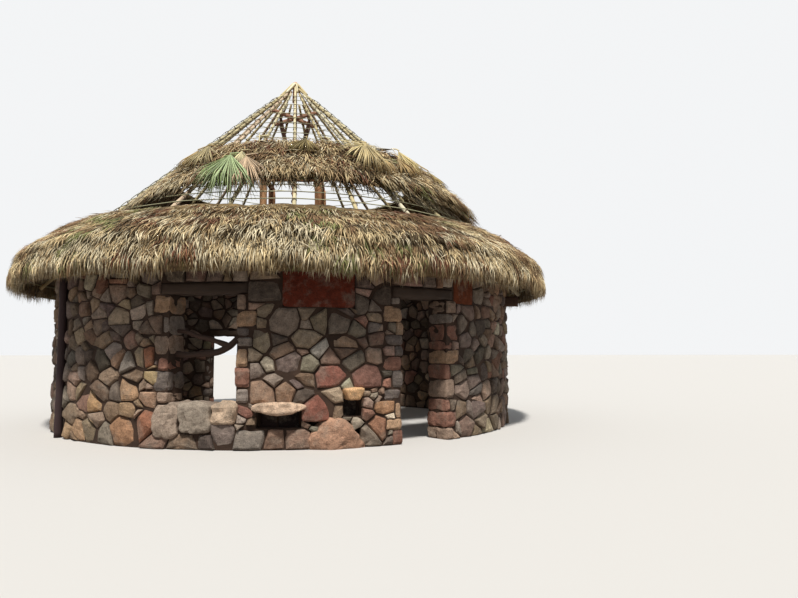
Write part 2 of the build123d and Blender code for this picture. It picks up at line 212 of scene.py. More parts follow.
def tube_corners(path, radii, sides, closed=False, roughness=0.0, seed=3, power=2.0, flat=1.0):
    """Corners of a tube: at each point of the path a ring in the plane square to the
    path, at the point's radius, with each corner moved in or out by noise. A direction
    is divided by the power mean of its cosine and sine, so that a power of two leaves
    the ring round and ten makes it a squared beam, `flat` times as deep as it is wide."""
    path = np.asarray(path, dtype=float)
    if closed:
        ahead = np.roll(path, -1, axis=-2) - np.roll(path, 1, axis=-2)
    else:
        ahead = np.gradient(path, axis=-2)
    ahead /= np.linalg.norm(ahead, axis=-1, keepdims=True)
    reference = np.where(np.abs(ahead[..., 2:]) > 0.9, [1.0, 0.0, 0.0], [0.0, 0.0, 1.0])
    across = np.cross(reference, ahead)
    across /= np.linalg.norm(across, axis=-1, keepdims=True)
    upward = np.cross(ahead, across)
    turn = even_turns(sides)
    mean = (np.abs(np.cos(turn)) ** power + np.abs(np.sin(turn)) ** power) ** (1 / power)
    aside, above = (np.cos(turn) / mean)[:, None], (flat * np.sin(turn) / mean)[:, None]
    rays = across[..., None, :] * aside + upward[..., None, :] * above
    ring = path[..., None, :] + rays * np.asarray(radii)[..., None, None]
    if roughness:
        ring = ring + rays * (roughness * noise(ring, 0.09, seed))[..., None]
    body = ring.reshape(path.shape[:-2] + (-1, 3))
    if closed:
        return body
    return np.concatenate([body, path[..., :1, :], path[..., -1:, :]], axis=-2)


def outward(corners, quads, triangles):
    """The faces turned so that they point outwards: the volume summed from the origin
    over all faces, a sixth of the triple product of each triangle, has to be positive."""
    quads = np.asarray(quads, dtype=int).reshape(-1, 4)
    triangles = np.asarray(triangles, dtype=int).reshape(-1, 3)
    every = np.concatenate([triangles, quads[:, [0, 1, 2]], quads[:, [0, 2, 3]]])
    first, second, third = (corners[every[:, column]] for column in range(3))
    volume = np.einsum("ij,ij->i", first, np.cross(second, third)).sum()
    if volume < 0:
        return quads[:, ::-1], triangles[:, ::-1]
    return quads, triangles


example = tube_faces(5, 6)
print("a tube of five rings of six corners has", sum(map(len, example)), "faces")

# %% [markdown]
# The camera stands at eye height in front of the hut and turns a little to the right
# and upwards; its lens follows from how wide a thing of known width appears. The sun
# stood high behind it, so one broad sun lamp lights the front and leaves the wall
# under the eave in shade, which lamps placed all round the hut would not do.

# %% Camera and sun
image_width = 798
focal_pixels = 669
sensor_width = 36
camera_tilt, camera_turn = 4.5, 9.05
camera_data = bpy.data.cameras.new("camera")
camera_data.sensor_width = sensor_width
camera_data.lens = focal_pixels / image_width * sensor_width
camera = bpy.data.objects.new("camera", camera_data)
camera.location = (0, -16.2, 1.6)
camera.rotation_euler = (math.radians(90 + camera_tilt), 0, math.radians(-camera_turn))
bpy.context.collection.objects.link(camera)
bpy.context.scene.camera = camera

sun_azimuth = math.radians(-6)
sun_elevation = math.radians(58)
sun_data = bpy.data.lights.new("sun", "SUN")
sun_data.energy = 3.6
sun_data.angle = math.radians(4)
sun_data.color = (1.0, 0.97, 0.92)
sun = bpy.data.objects.new("sun", sun_data)
sun.rotation_euler = (math.pi / 2 - sun_elevation, 0, sun_azimuth)
bpy.context.collection.objects.link(sun)
bpy.context.scene.view_settings.view_transform = "Standard"
print("lens", round(camera_data.lens, 1), "mm, sun energy", round(sun_data.energy, 1))

# %% [markdown]
# Floor and sky are only a stage. What is seen of them is pale, but a floor that pale
# would throw light up under the eave, so the rays that carry light meet darker ones. A
# light path node tells the two kinds of ray apart, and needs no extra lamp.

# %% Shader nodes
def add_node(tree, kind, inputs=None, **settings):
    """Adds a shader node, sets its options and its inputs, and links an input whose
    value is the output of another node."""
    made = tree.nodes.new("ShaderNode" + kind)
    for key, value in settings.items():
        setattr(made, key, value)
    for key, value in (inputs or {}).items():
        if isinstance(value, bpy.types.NodeSocket):
            tree.links.new(value, made.inputs[key])
        else:
            made.inputs[key].default_value = value
    return made


def calculate(tree, operation, *values):
    """One step of arithmetic on two or three values."""
    return add_node(tree, "Math", dict(enumerate(values)), operation=operation).outputs[0]


def mixed(tree, share, first, second):
    """The first colour where the share is nought, the second where it is one."""
    return add_node(tree, "Mix", {0: share, 6: first, 7: second}, data_type="RGBA").outputs[2]


def seen_directly(tree):
    """One where the camera, a mirror or a glass looks straight at the surface."""
    rays = add_node(tree, "LightPath").outputs
    seen = calculate(tree, "MAXIMUM", rays["Is Camera Ray"], rays["Is Glossy Ray"])
    return calculate(tree, "MAXIMUM", seen, rays["Is Transmission Ray"])


def new_finish(name):
    """A material with nodes: itself, its node tree and its main shader."""
    material = bpy.data.materials.new(name)
    material.use_nodes = True
    return material, material.node_tree, material.node_tree.nodes["Principled BSDF"]


# %% Sky and floor
sky_strength = 0.32
backdrop = bpy.data.worlds.new("backdrop")
bpy.context.scene.world = backdrop
backdrop.use_nodes = True
sky = backdrop.node_tree
sky.nodes.clear()
sky_light = add_node(sky, "Background", {"Color": (0.86, 0.93, 1.0, 1), "Strength": sky_strength})
sky_seen = add_node(sky, "Background", {"Color": (0.90, 0.91, 0.92, 1), "Strength": 1.0})
sky_mix = add_node(
    sky, "MixShader", {0: seen_directly(sky), 1: sky_light.outputs[0], 2: sky_seen.outputs[0]}
)
add_node(sky, "OutputWorld", {"Surface": sky_mix.outputs[0]})

floor_reach = 300
floor_corners = [(-1, -1), (1, -1), (1, 1), (-1, 1)]
floor_mesh = bpy.data.meshes.new("floor")
floor_mesh.from_pydata(
    [(x * floor_reach, y * floor_reach, 0) for x, y in floor_corners], [], [(0, 1, 2, 3)]
)
floor = bpy.data.objects.new("floor", floor_mesh)
bpy.context.collection.objects.link(floor)
floor_paint, tree, shader = new_finish("floor_paint")
floor_colour = mixed(tree, seen_directly(tree), (0.24, 0.21, 0.19, 1), (0.70, 0.68, 0.65, 1))
tree.links.new(floor_colour, shader.inputs["Base Color"])
shader.inputs["Roughness"].default_value = 0.9
floor_mesh.materials.append(floor_paint)
print("floor reaches", floor_reach, "m each way")

# %% [markdown]
# The finishes share one recipe. The stored colour of each stone, leaf or pole is
# multiplied by blotches and by a finer grain, both noise in object space, and the same
# grain drives a small bump. Stretching the noise along one direction turns blotches
# into wood fibre. Only the sizes and strengths differ from finish to finish.

# %% The common finish
def paint_value(red, green, blue):
    """A colour given from 0 to 255 as it looks, in the linear values that light uses:
    each share is raised to the power 2.2."""
    return (np.array([red, green, blue]) / 255.0) ** 2.2


def paint_rows(paints):
    """Several such colours, one a row."""
    return np.array([paint_value(*paint) for paint in paints])


def clouds(tree, where, scale, detail, roughness=0.5):
    """Noise in space, whose values lie mostly from 0.3 to 0.7."""
    inputs = {"Vector": where, "Scale": scale, "Detail": detail, "Roughness": roughness}
    return add_node(tree, "TexNoise", inputs).outputs[0]


def ramp(tree, value, start, end, low=0.3, high=0.7):
    """The value's stretch from low to high, mapped to one from start to end."""
    return add_node(tree, "MapRange", {0: value, 1: low, 2: high, 3: start, 4: end}).outputs[0]


def colour_and_relief(tree, shader, colour, shade, height, strength, distance):
    """Colour times shade is what the shader shows, and the height is its bump."""
    tinted = add_node(tree, "VectorMath", {0: colour, 1: shade}, operation="MULTIPLY")
    bump = {"Strength": strength, "Distance": distance, "Height": height}
    tree.links.new(tinted.outputs[0], shader.inputs["Base Color"])
    tree.links.new(add_node(tree, "Bump", bump).outputs[0], shader.inputs["Normal"])


def grained(
    name, colour, blotch, grain, contrast, bump, roughness, stretch=(1, 1, 1), stored=None
):
    """A finish from a colour, or from the stored tint where colour is None: times a
    ramp of coarse noise, times a ramp of fine noise, with bump from both. The noise
    lies in object space, or in the place that the piece has stored for its corners."""
    material, tree, shader = new_finish(name)
    if stored is None:
        where = add_node(tree, "TexCoord").outputs["Object"]
    else:
        where = add_node(tree, "Attribute", attribute_name=stored).outputs["Vector"]
    where = add_node(tree, "Mapping", {"Vector": where, "Scale": stretch}).outputs[0]
    coarse = clouds(tree, where, blotch, 4.0)
    fine = clouds(tree, where, grain, 6.0, 0.65)
    brightest = 1 + contrast * 0.6
    shade = ramp(tree, coarse, 1 - contrast, brightest)
    speck = ramp(tree, fine, 1 - contrast * 0.8, brightest)
    if colour is None:
        base = add_node(tree, "Attribute", attribute_name="tint").outputs["Color"]
    else:
        dark = tuple(0.62 * paint_value(*colour)) + (1,)
        light = tuple(1.12 * paint_value(*colour)) + (1,)
        base = mixed(tree, coarse, dark, light)
    both = calculate(tree, "MULTIPLY", shade, speck)
    height = calculate(tree, "MULTIPLY_ADD", coarse, 2.0, fine)
    colour_and_relief(tree, shader, base, both, height, 0.7, bump)
    dull = ramp(tree, fine, roughness - 0.12, roughness + 0.08)
    tree.links.new(dull, shader.inputs["Roughness"])
    shader.inputs["Specular IOR Level"].default_value = 0.3
    return material


mortar = grained("earth_mortar", (74, 58, 48), 4.0, 55, 0.34, 0.02, 0.92)
leaf = grained("dry_leaf", None, 6.0, 60, 0.22, 0.003, 0.6)
leaf_bed = grained("leaf_bed", None, 9.0, 70, 0.42, 0.03, 0.9, (1, 1, 0.25))
timber = grained("weathered_timber", None, 5.0, 90, 0.30, 0.006, 0.8, stored="fibre")
print("finishes of the common kind", [made.name for made in (mortar, leaf, leaf_bed, timber)])

# %% [markdown]
# Volcanic stone is rougher. Gas has left small pits in it and dust lies on its upper
# parts. Modelling a million pits is out of the question, so the middles of the cells
# of a cell texture, where the distance is small, are made deep, and dark as painted
# shade in the pits.

# %% Volcanic stone
def pitted(name, dust_share, pit_size, bump):
    """The stored tint times coarse and fine noise, greyed by dust where a slow noise is
    high, and darkened in the pits as painted shade. Noise and pits are also the bump."""
    material, tree, shader = new_finish(name)
    where = add_node(tree, "TexCoord").outputs["Object"]
    slow = clouds(tree, where, 3.4, 6.0, 0.7)
    coarse = clouds(tree, where, 9.0, 5.0, 0.6)
    fine = clouds(tree, where, 52.0, 8.0, 0.75)
    cells = add_node(tree, "TexVoronoi", {"Vector": where, "Scale": 1 / pit_size})
    pit = ramp(tree, cells.outputs["Distance"], 0.45, 1.0, 0.08, 0.34)
    shade = ramp(tree, coarse, 0.66, 1.30)
    speck = ramp(tree, fine, 0.62, 1.38)
    dust = ramp(tree, slow, 0.0, dust_share, 0.5, 0.66)
    stored = add_node(tree, "Attribute", attribute_name="tint").outputs["Color"]
    dusty = mixed(tree, dust, stored, tuple(paint_value(150, 138, 124)) + (1,))
    both = calculate(tree, "MULTIPLY", shade, speck)
    # the pits darken the colour: painted shade
    every = calculate(tree, "MULTIPLY", both, pit)
    rough = calculate(tree, "MULTIPLY_ADD", coarse, 1.6, fine)
    height = calculate(tree, "MULTIPLY_ADD", pit, 0.7, rough)
    colour_and_relief(tree, shader, dusty, every, height, 0.9, bump)
    shader.inputs["Roughness"].default_value = 0.92
    shader.inputs["Specular IOR Level"].default_value = 0.2
    return material


rubble = pitted("rubble_stone", 0.55, 0.022, 0.022)
print("nodes in the finish of the stones", len(rubble.node_tree.nodes))

# %% [markdown]
# The eave band is a thick coat of palm leaves. Seen in section its outer face runs
# down a straight slope, bends round a full nose and hangs plumb as a fringe. Leaf
# after leaf can be laid along that one curve, so the curve comes first.

# %% The outer face of the eave band
eave_radius = -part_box("lower_thatch_front")[0][1] - 0.03
eave_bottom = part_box("lower_thatch_front")[0][2]
face_angle = math.radians(36.7)
nose_bend = 0.87
nose_start_radius = eave_radius - nose_bend * (1 - math.sin(face_angle))
nose_start_height = 3.62
nose_length = nose_bend * (math.pi / 2 - face_angle)
nose_end_height = nose_start_height - nose_bend * math.cos(face_angle)
band_top_radius = 4.33
band_top_shift = 0.40
left_dent = 0.15
left_turn, left_width = -1.25, 0.5


def eave_face(azimuth, down):
    """Radius, height and angle of fall at a distance down the face from where the nose
    starts: a straight line above, an arc to plumb, and a plumb line below. On the left
    the nose is pressed in a little, by a bell curve of azimuth and of distance."""
    down = np.broadcast_to(down, np.broadcast(azimuth, down).shape)
    angle = face_angle + np.clip(down, 0, nose_length) / nose_bend
    straight = np.minimum(down, 0)
    plumb = np.maximum(down - nose_length, 0)
    radius = nose_start_radius + straight * math.cos(face_angle)
    radius = radius + nose_bend * (np.sin(angle) - math.sin(face_angle))
    height = nose_start_height - straight * math.sin(face_angle)
    height = height - nose_bend * (math.cos(face_angle) - np.cos(angle)) - plumb
    turned = (azimuth - left_turn) / left_width
    dent = left_dent * np.exp(-(turned**2) - ((down - 0.35) / 0.4) ** 2)
    return radius - dent * np.sin(angle), height - dent * np.cos(angle), angle


def shifted_edge(azimuth, radius, shift):
    """Distance from the hut's axis to a circle whose centre is moved forwards."""
    return shift * np.cos(azimuth) + np.sqrt(radius**2 - (shift * np.sin(azimuth)) ** 2)


def eave_top(azimuth):
    """Where the band ends above, as a distance down the face (negative)."""
    edge = shifted_edge(azimuth, band_top_radius, band_top_shift)
    return (edge - nose_start_radius) / math.cos(face_angle)


def lay_on(face, azimuth, down, lift):
    """Points that stand off a face by the lift, square to it."""
    radius, height, angle = face(azimuth, down)
    return place(azimuth, radius + lift * np.sin(angle), height + lift * np.cos(angle))


def square_to(face, azimuth, down):
    """Unit vectors square to a face."""
    angle = face(azimuth, down)[2]
    return place(azimuth, np.sin(angle), np.cos(angle))


print("eave", round(2 * eave_radius, 2), "m across, nose", round(nose_length, 2), "m long")

# %% [markdown]
# Leaves are laid in courses, each lapping over the one below like slates, and a band
# that is laid so has steps. A step could be left to the leaves alone; it is written
# here as a rise over the even face, so that bed and leaves share it.

# %% Lapped courses
course_step = 0.05
course_length = 0.807
course_ends = nose_start_radius + np.array([-1.18, -0.54, 0.11])
lowest_end = float(course_ends[-1] - nose_start_radius) / math.cos(face_angle)


def course_rise(down):
    """How far the surface stands out from the even face: each lapped course thickens
    evenly by one step from its upper edge to its lower end, and the last one starts a
    half step low and comes out level with the nose."""
    share = np.mod((np.asarray(down) - lowest_end) / course_length, 1.0)
    last = np.clip((np.asarray(down) - lowest_end) / 0.45, 0, 1) - 1
    return course_step * np.where(down < lowest_end, share - 0.5, 0.5 * last)


def thin_top(azimuth, down, most):
    """The first course lies almost flat on the canes: the surface sinks evenly over
    the last half metre before the band's upper edge, by `most` at the edge itself."""
    return -most * np.clip(1 - (down - eave_top(azimuth)) / 0.55, 0, 1)


print("band from", round(float(eave_top(0.0)), 2), "m down the face")
print("its courses end at radii", course_ends.round(2))

# %% [markdown]
# Under the leaves lies a matted bed, which keeps daylight from showing through and
# stands for the CAD solids of the band. It is one ring whose section is a closed loop:
# down the outer face, round the fringe and back up along the canes. Noise pushes the
# outer face in and out, as bundles of leaves do.

# %% The eave band's bed
def bed_colours(corners, seed):
    """Streaked browns: two noises that are long down the slope and short around it."""
    azimuth = np.arctan2(corners[:, 0], -corners[:, 1])
    radius = np.hypot(corners[:, 0], corners[:, 1])
    spread = np.stack([azimuth * 5.5, radius * 0.35, corners[:, 2] * 0.35], -1)
    streak = noise(spread, 0.07, seed) * 0.5 + noise(spread, 0.03, seed + 1) * 0.5
    share = np.clip(0.5 + 0.8 * streak, 0, 1)[:, None]
    return paint_value(78, 62, 42) * (1 - share) + paint_value(156, 132, 92) * share


def add_bed(name, loops, seed, nodes):
    """A tube bent into a ring: the same closed loop of points at every azimuth, each
    joined to the next, which needs no end caps. Loops come as (azimuths, points, 3)."""
    corners = loops.reshape(-1, 3)
    quads, none = outward(corners, *tube_faces(*loops.shape[:2], closed=True))
    replaced = [f"{nodes}_{side}" for side in quarters]
    colours = bed_colours(corners, seed)
    return add_piece(name, corners, quads, none, colours, leaf_bed, replaced)


around_steps, face_points, under_points = 300, 30, 14
column = (even_turns(around_steps) - math.pi)[:, None]
top = eave_top(column) + 0.09
bed_bottom = nose_length + nose_end_height - eave_bottom - 0.20
down = top + (bed_bottom - top) * np.linspace(0, 1, face_points)
outer = lay_on(eave_face, column, down, np.full(down.shape, -0.05))
outer_push = noise(outer, 0.45, 11) * 0.04 + noise(outer, 0.16, 12) * 0.03 + course_rise(down)
outer_push = outer_push - 0.06 + thin_top(column, down, 0.07)
outer = lay_on(eave_face, column, down, np.maximum(outer_push, -0.18))
cane_reach = 0.0845
tail_run = rafter_tail - 0.03
top_run = shifted_edge(column, band_top_radius + 0.07, band_top_shift)
top_run = top_run - cane_reach * math.sin(pitch)
run = tail_run + (top_run - tail_run) * np.linspace(0, 1, under_points)
under = place(column, *on_slope(run, cane_reach))
hang = place(column, np.array([[tail_run + 0.12, tail_run + 0.07]]), np.array([[2.84, 2.98]]))
add_bed("eave_thatch_bed", np.concatenate([outer, hang, under], axis=1), 21, "lower_thatch")

# %% [markdown]
# The middle band lies on the canes like a collar. It is full on the right; at the far
# left it is only pushed in between the poles, which stand bare against the sky. Its
# bed is made the same way, from its own face, thickness and two edges.

# %% The middle band and its bed
middle_bottom_radius, middle_bottom_shift = 4.25, 0.30
middle_top_radius, middle_top_shift = 2.82, 0.23


def left_thin(azimuth):
    """One where the layer is thin on the left, and nothing elsewhere: a flat-topped
    bell of the fourth power."""
    return np.exp(-(((azimuth - left_turn) / left_width) ** 4))


def middle_lift(azimuth):
    """Thickness of the middle band over the canes: fullest on the right, and less than
    nothing where it lies between the poles."""
    return 0.19 + 0.125 * np.sin(azimuth) - 0.19 * left_thin(azimuth)


def middle_top(azimuth):
    """Upper edge of the middle band as a distance from the apex."""
    return shifted_edge(azimuth, middle_top_radius, -middle_top_shift) / math.cos(pitch) - 0.1


def middle_bottom(azimuth):
    """Lower edge of the middle band: its own edge, or just above the eave band."""
    own = shifted_edge(azimuth, middle_bottom_radius, -middle_bottom_shift)
    own = own + 0.28 * np.exp(-(((azimuth + 1.0) / 0.35) ** 2))
    eave = shifted_edge(azimuth, band_top_radius, band_top_shift)
    return (np.minimum(own, eave - 0.02) / math.cos(pitch)) - 0.12


def middle_face(azimuth, down):
    """The straight outer face of the middle band; down counts from the roof's apex,
    and the band swells to its full thickness just below its upper edge."""
    down = np.broadcast_to(down, np.broadcast(azimuth, down).shape)
    swell = np.clip((down - middle_top(azimuth) + 0.1) / 0.45, 0.3, 1.0)
    lift = cane_reach + middle_lift(azimuth) * swell
    radius, height = on_slope(down * math.cos(pitch), lift)
    return radius, height, np.full(down.shape, pitch)


share_down = np.linspace(0, 1, 22)
low, high = middle_top(column) + 0.05, middle_bottom(column) - 0.16
down = low + (high - low) * share_down
torn = down + noise(place(column[:, 0], 4.0, 5.0), 0.4, 31)[:, None] * 0.12 * share_down
outer = lay_on(middle_face, column, torn, np.full(down.shape, -0.06))
outer_push = noise(outer, 0.4, 32) * 0.05 - 0.055 + course_rise(down)
outer = lay_on(middle_face, column, torn, outer_push)
inner_run = (torn * math.cos(pitch))[:, ::-1]
inner = place(column, *on_slope(inner_run, cane_reach - 0.32 * left_thin(column)))
add_bed("middle_thatch_bed", np.concatenate([outer, inner], axis=1), 23, "middle_thatch")

# %% [markdown]
# A palm leaf splits into long narrow blades. A hair system could strew them, but it
# makes no closed solid meshes. Here one blade is a tapered prism of three sides that
# follows the thatch's face, starts a little inside it and ends free. Blades come in
# bunches, whose rows overlap up the slope. Nearly sixty thousand stay light, because
# each has only ten triangles and all are computed together as arrays.

# %% Leaf blades
chance = np.random.default_rng(7)
blade_steps = np.array([0.0, 0.56, 1.0])


def blade_corners(face, azimuth, down, lean, length, width, lifts, curl, sag):
    """Corners of blades: points at three shares of the length run down the face at the
    lean, the sideways part growing with the square of the share times the curl; each
    of the first two becomes a triangle of two edges and a raised ridge, the last is
    the tip. The sag pulls the free end straight down."""
    share = blade_steps[None, :]
    run = down[:, None] + length[:, None] * share * np.cos(lean)[:, None]
    side = length[:, None] * (share * np.sin(lean)[:, None] + curl[:, None] * share**2)
    radius = face(azimuth[:, None], run)[0]
    turn = azimuth[:, None] + side / radius
    middle = lay_on(face, turn, run, lifts)
    middle[..., 2] -= sag[:, None] * share**2
    normal = square_to(face, turn, run)
    ahead = np.gradient(middle, axis=1)
    ahead /= np.linalg.norm(ahead, axis=-1, keepdims=True)
    across = np.cross(normal, ahead)
    across /= np.linalg.norm(across, axis=-1, keepdims=True)
    half = (width[:, None] * np.array([[0.40, 0.5]]))[..., None]
    ridge = normal[:, :2] * half * 0.55
    left = middle[:, :2] - across[:, :2] * half
    right = middle[:, :2] + across[:, :2] * half
    rings = np.stack([left, right, middle[:, :2] + ridge], axis=2).reshape(len(azimuth), 6, 3)
    return np.concatenate([rings, middle[:, 2:]], axis=1)


blade_quads = np.array([(side, (side + 1) % 3, 3 + (side + 1) % 3, 3 + side) for side in range(3)])
blade_triangles = np.array([(3, 4, 6), (4, 5, 6), (5, 3, 6), (0, 2, 1)])


def blade_tints(paints, root, tip):
    """One colour per corner: the blade's paint, times the root's factor at the first
    ring, a painted shade where the blade lies under others, and the tip's at the rest,
    which makes it lighter towards the tip."""
    shade = np.repeat([root, tip * 0.93, tip], [3, 3, 1])
    return paints[:, None, :] * shade[None, :, None]


print("a blade has", 2 * len(blade_quads) + len(blade_triangles), "triangles")

# %% [markdown]
# Old and new leaves differ in colour and lie in patches, as they were carried up in
# bundles. A slow noise moves the odds of each paint along the thatch, and a short list
# adds the patches that stand out, which chance alone would not put there.

# %% Patches of colour
# Straw, pale straw, tan, brown, red-brown, green and dark
leaf_paints = paint_rows(
    [
        (238, 214, 166), (250, 234, 196), (210, 181, 136), (160, 128, 94), (140, 96, 72),
        (158, 158, 104), (104, 88, 64),
    ]
)
# Azimuth, height, reach, kind of leaf, strength
leaf_patches = [
    (-39, 4.05, 0.50, "fresh", 3.0),
    (3, 4.05, 0.35, "fresh", 3.0),
    (5, 3.15, 0.40, "fresh", 1.6),
    (22, 3.10, 0.35, "fresh", 1.0),
    (-11, 4.00, 0.55, "brown", 2.0),
    (23, 3.85, 0.70, "brown", 1.2),
    (-2, 3.75, 0.50, "pale", 3.0),
    (-6, 3.55, 0.35, "pale", 2.0),
    (-42, 3.15, 0.80, "pale", 1.6),
    (-30, 3.20, 0.90, "pale", 2.6),
    (-16, 3.15, 0.60, "pale", 1.6),
    (19, 3.15, 0.80, "pale", 1.4),
    (-28, 5.00, 0.50, "pale", 1.6),
    (38, 3.95, 0.80, "pale", 1.4),
    (-40, 4.90, 0.90, "pale", 1.6),
    (36, 5.30, 0.60, "pale", 1.0),
    (150, 3.80, 0.60, "fresh", 2.0),
    (-120, 3.70, 0.60, "brown", 1.6),
    (95, 3.90, 0.50, "fresh", 2.0),
    (-170, 3.90, 0.50, "pale", 2.0),
]


def patch_strength(points, kind):
    """Sum over the patches of one kind: the strength times a bell curve of the
    distance from the patch's middle over its reach."""
    total = np.zeros(len(points))
    for azimuth, height, reach, own_kind, strength in leaf_patches:
        if own_kind == kind:
            middle = place(math.radians(azimuth), np.hypot(points[:, 0], points[:, 1]), height)
            away = np.linalg.norm(points - middle, axis=-1) / reach
            total += strength * np.exp(-(away**2))
    return total


def pick(paints, odds):
    """One of the paints for each row of odds: a random number is counted past the
    running sum of the odds."""
    limits = np.cumsum(odds / odds.sum(-1, keepdims=True), axis=-1)
    choice = (chance.random((len(odds), 1)) > limits).sum(-1)
    return paints[np.minimum(choice, len(paints) - 1)]


def pick_paints(points, fresh, brown):
    """A paint for each bunch, whose odds move with slow noise along the thatch."""
    patch = noise(points, 1.1, 41)
    green = np.clip(noise(points, 0.8, 42) - 0.45, 0, 1) * fresh
    browner = brown + patch_strength(points, "brown")
    odds = np.stack(
        [
            1.0 + 0.0 * patch,
            np.clip(0.7 + patch - brown, 0.08, 2) + patch_strength(points, "pale"),
            0.9 + 0.0 * patch,
            np.clip(0.45 - 0.8 * patch + browner, 0.05, 3),
            np.clip(0.08 - 0.5 * patch + browner * 0.6, 0.02, 2),
            0.05 + 2.0 * green + patch_strength(points, "fresh"),
            np.clip(0.12 - 0.4 * patch + browner * 0.5, 0.03, 1),
        ],
        -1,
    )
    return pick(leaf_paints, odds)


print("patches that stand out", len(leaf_patches))

# %% [markdown]
# One mesh for a whole roof of leaves would be heavier than a piece should be, so every
# piece that goes round the hut is cut in quarters, as the CAD solids are. Bunches stand
# at an even gap, each moved by up to half of it, so that no seam or pattern shows.

# %% Bunches and quarters
leaf_limit = eave_radius + 0.025


def add_quarters(name, corners, tints, degrees, faces, material, smooth=True):
    """Joins the copies of each quarter of the hut into one piece. Corners and tints
    come as (copies, corners, 3), and degrees are the azimuths of the copies."""
    quarter = np.floor((degrees + 45) / 90).astype(int) % 4
    for number, side in enumerate(quarters):
        own = quarter == number
        flat = corners[own].reshape(-1, 3)
        repeated = [repeat_faces(kind, int(own.sum()), corners.shape[1]) for kind in faces]
        quads, triangles = outward(flat, *repeated)
        own_tints = tints[own].reshape(-1, 3)
        add_piece(f"{name}_{side}", flat, quads, triangles, own_tints, material, (), smooth)


def add_leaves(name, blades, tints):
    """The pieces of one band from lists of blades and tints, after corners that reach
    past the eave's limit are drawn in to it."""
    corners = np.concatenate(blades)
    radius = np.maximum(np.hypot(corners[..., 0], corners[..., 1]), 0.1)
    corners[..., :2] *= np.minimum(1, leaf_limit / radius)[..., None]
    middle = corners.mean(axis=1)
    degrees = np.degrees(np.arctan2(middle[:, 0], -middle[:, 1]))
    faces = (blade_quads, blade_triangles)
    add_quarters(name, corners, np.concatenate(tints), degrees, faces, leaf)


def bunch_turns(radius, gap):
    """Azimuths of bunches at an even gap round a circle, each moved at random."""
    count = int(2 * math.pi * radius / gap)
    return (np.arange(count) + chance.uniform(-0.5, 0.5, count)) * 2 * math.pi / count


def bunches(count, each, spread):
    """Random offsets of the blades within their bunches, and which bunch each is in."""
    owner = np.repeat(np.arange(count), each)
    return owner, chance.uniform(-1, 1, count * each) * spread


print("leaves end inside a radius of", round(leaf_limit, 3), "m")

# %% [markdown]
# The eave band is laid from the nose upwards. The last course is of new pale leaves,
# which hang close together; above it older brown ones lie in looser rows.

# %% Rows of the eave band
eave_corners, eave_tints = [], []
row_step = 0.21
lowest_row = nose_length - 0.40
rows = int((lowest_row - float(eave_top(math.pi))) / row_step) + 1
for row in range(rows):
    row_down = lowest_row - row * row_step
    row_radius = float(eave_face(0.0, np.array([row_down]))[0][0])
    turn = bunch_turns(row_radius, 0.165)
    wave = 0.07 * noise(place(turn, eave_radius, 3.0), 0.8, 45)
    place_down = row_down + chance.uniform(-0.07, 0.07, len(turn)) + wave
    kept = place_down > eave_top(turn) + 0.05
    turn, place_down = turn[kept], place_down[kept]
    count = len(turn)
    lean = chance.normal(0, 0.16, count)
    brown = -0.35 if row_down > lowest_end - 0.35 else 0.5
    paints = pick_paints(lay_on(eave_face, turn, place_down, 0.0 * turn), 1.0, brown)
    owner, side = bunches(count, 14, 0.13)
    blades = len(owner)
    wild = chance.random(blades) < 0.06
    length = chance.uniform(0.34, 0.58, blades)
    free = chance.uniform(-0.03, 0.035, blades) + wild * chance.uniform(0.02, 0.08, blades)
    root, belly = chance.uniform(-0.07, -0.02, blades), chance.uniform(-0.012, 0.022, blades)
    lifts = np.stack([root, free * 0.4 + belly, free], -1)
    lifts = lifts + course_rise(np.full((blades, 1), row_down + 0.12)) * 1.3
    lifts = lifts + thin_top(turn[owner], place_down[owner], 0.15)[:, None] * [1.0, 0.8, 0.5]
    lifts = np.minimum(lifts, 0.022 if row_down > 0.1 else 0.09)
    down = place_down[owner] + chance.uniform(-0.05, 0.05, blades)
    lean = lean[owner] + side * 1.3 + chance.normal(0, 0.13, blades)
    lean = lean + wild * chance.normal(0, 0.5, blades)
    width, curl = chance.uniform(0.012, 0.024, blades), chance.normal(0, 0.07, blades)
    turn = turn[owner] + side / row_radius
    eave_corners.append(
        blade_corners(eave_face, turn, down, lean, length, width, lifts, curl, 0 * width)
    )
    tone = chance.uniform(0.72, 1.16, blades)[:, None]
    bunch_tone = chance.uniform(0.78, 1.14, count)[owner][:, None]
    eave_tints.append(blade_tints(paints[owner] * tone * bunch_tone, 0.58, 1.17))
print("rows on the eave band", rows)

# %% [markdown]
# Two places need leaves of their own. Along the band's upper edge they lie thin on the
# canes, and under the nose several layers, one behind the other, hang as the fringe.

# %% Upper edge and fringe
edge_radius = 4.4
turn = bunch_turns(edge_radius, 0.12)
place_down = eave_top(turn) + chance.uniform(-0.02, 0.14, len(turn))
paints = pick_paints(lay_on(eave_face, turn, place_down, 0.0 * turn), 1.0, 0.3)
owner, side = bunches(len(turn), 12, 0.12)
blades = len(owner)
free = chance.uniform(-0.02, 0.05, blades)
lifts = np.stack([chance.uniform(-0.17, -0.12, blades), free - 0.09, free - 0.03], -1)
eave_corners.append(
    blade_corners(
        eave_face, turn[owner] + side / edge_radius, place_down[owner],
        side * 1.6 + chance.normal(0, 0.22, blades), chance.uniform(0.32, 0.58, blades),
        chance.uniform(0.014, 0.028, blades), lifts, chance.normal(0, 0.09, blades),
        np.zeros(blades),
    )
)
eave_tints.append(blade_tints(paints[owner] * chance.uniform(0.6, 1.15, blades)[:, None], 0.7, 1.1))

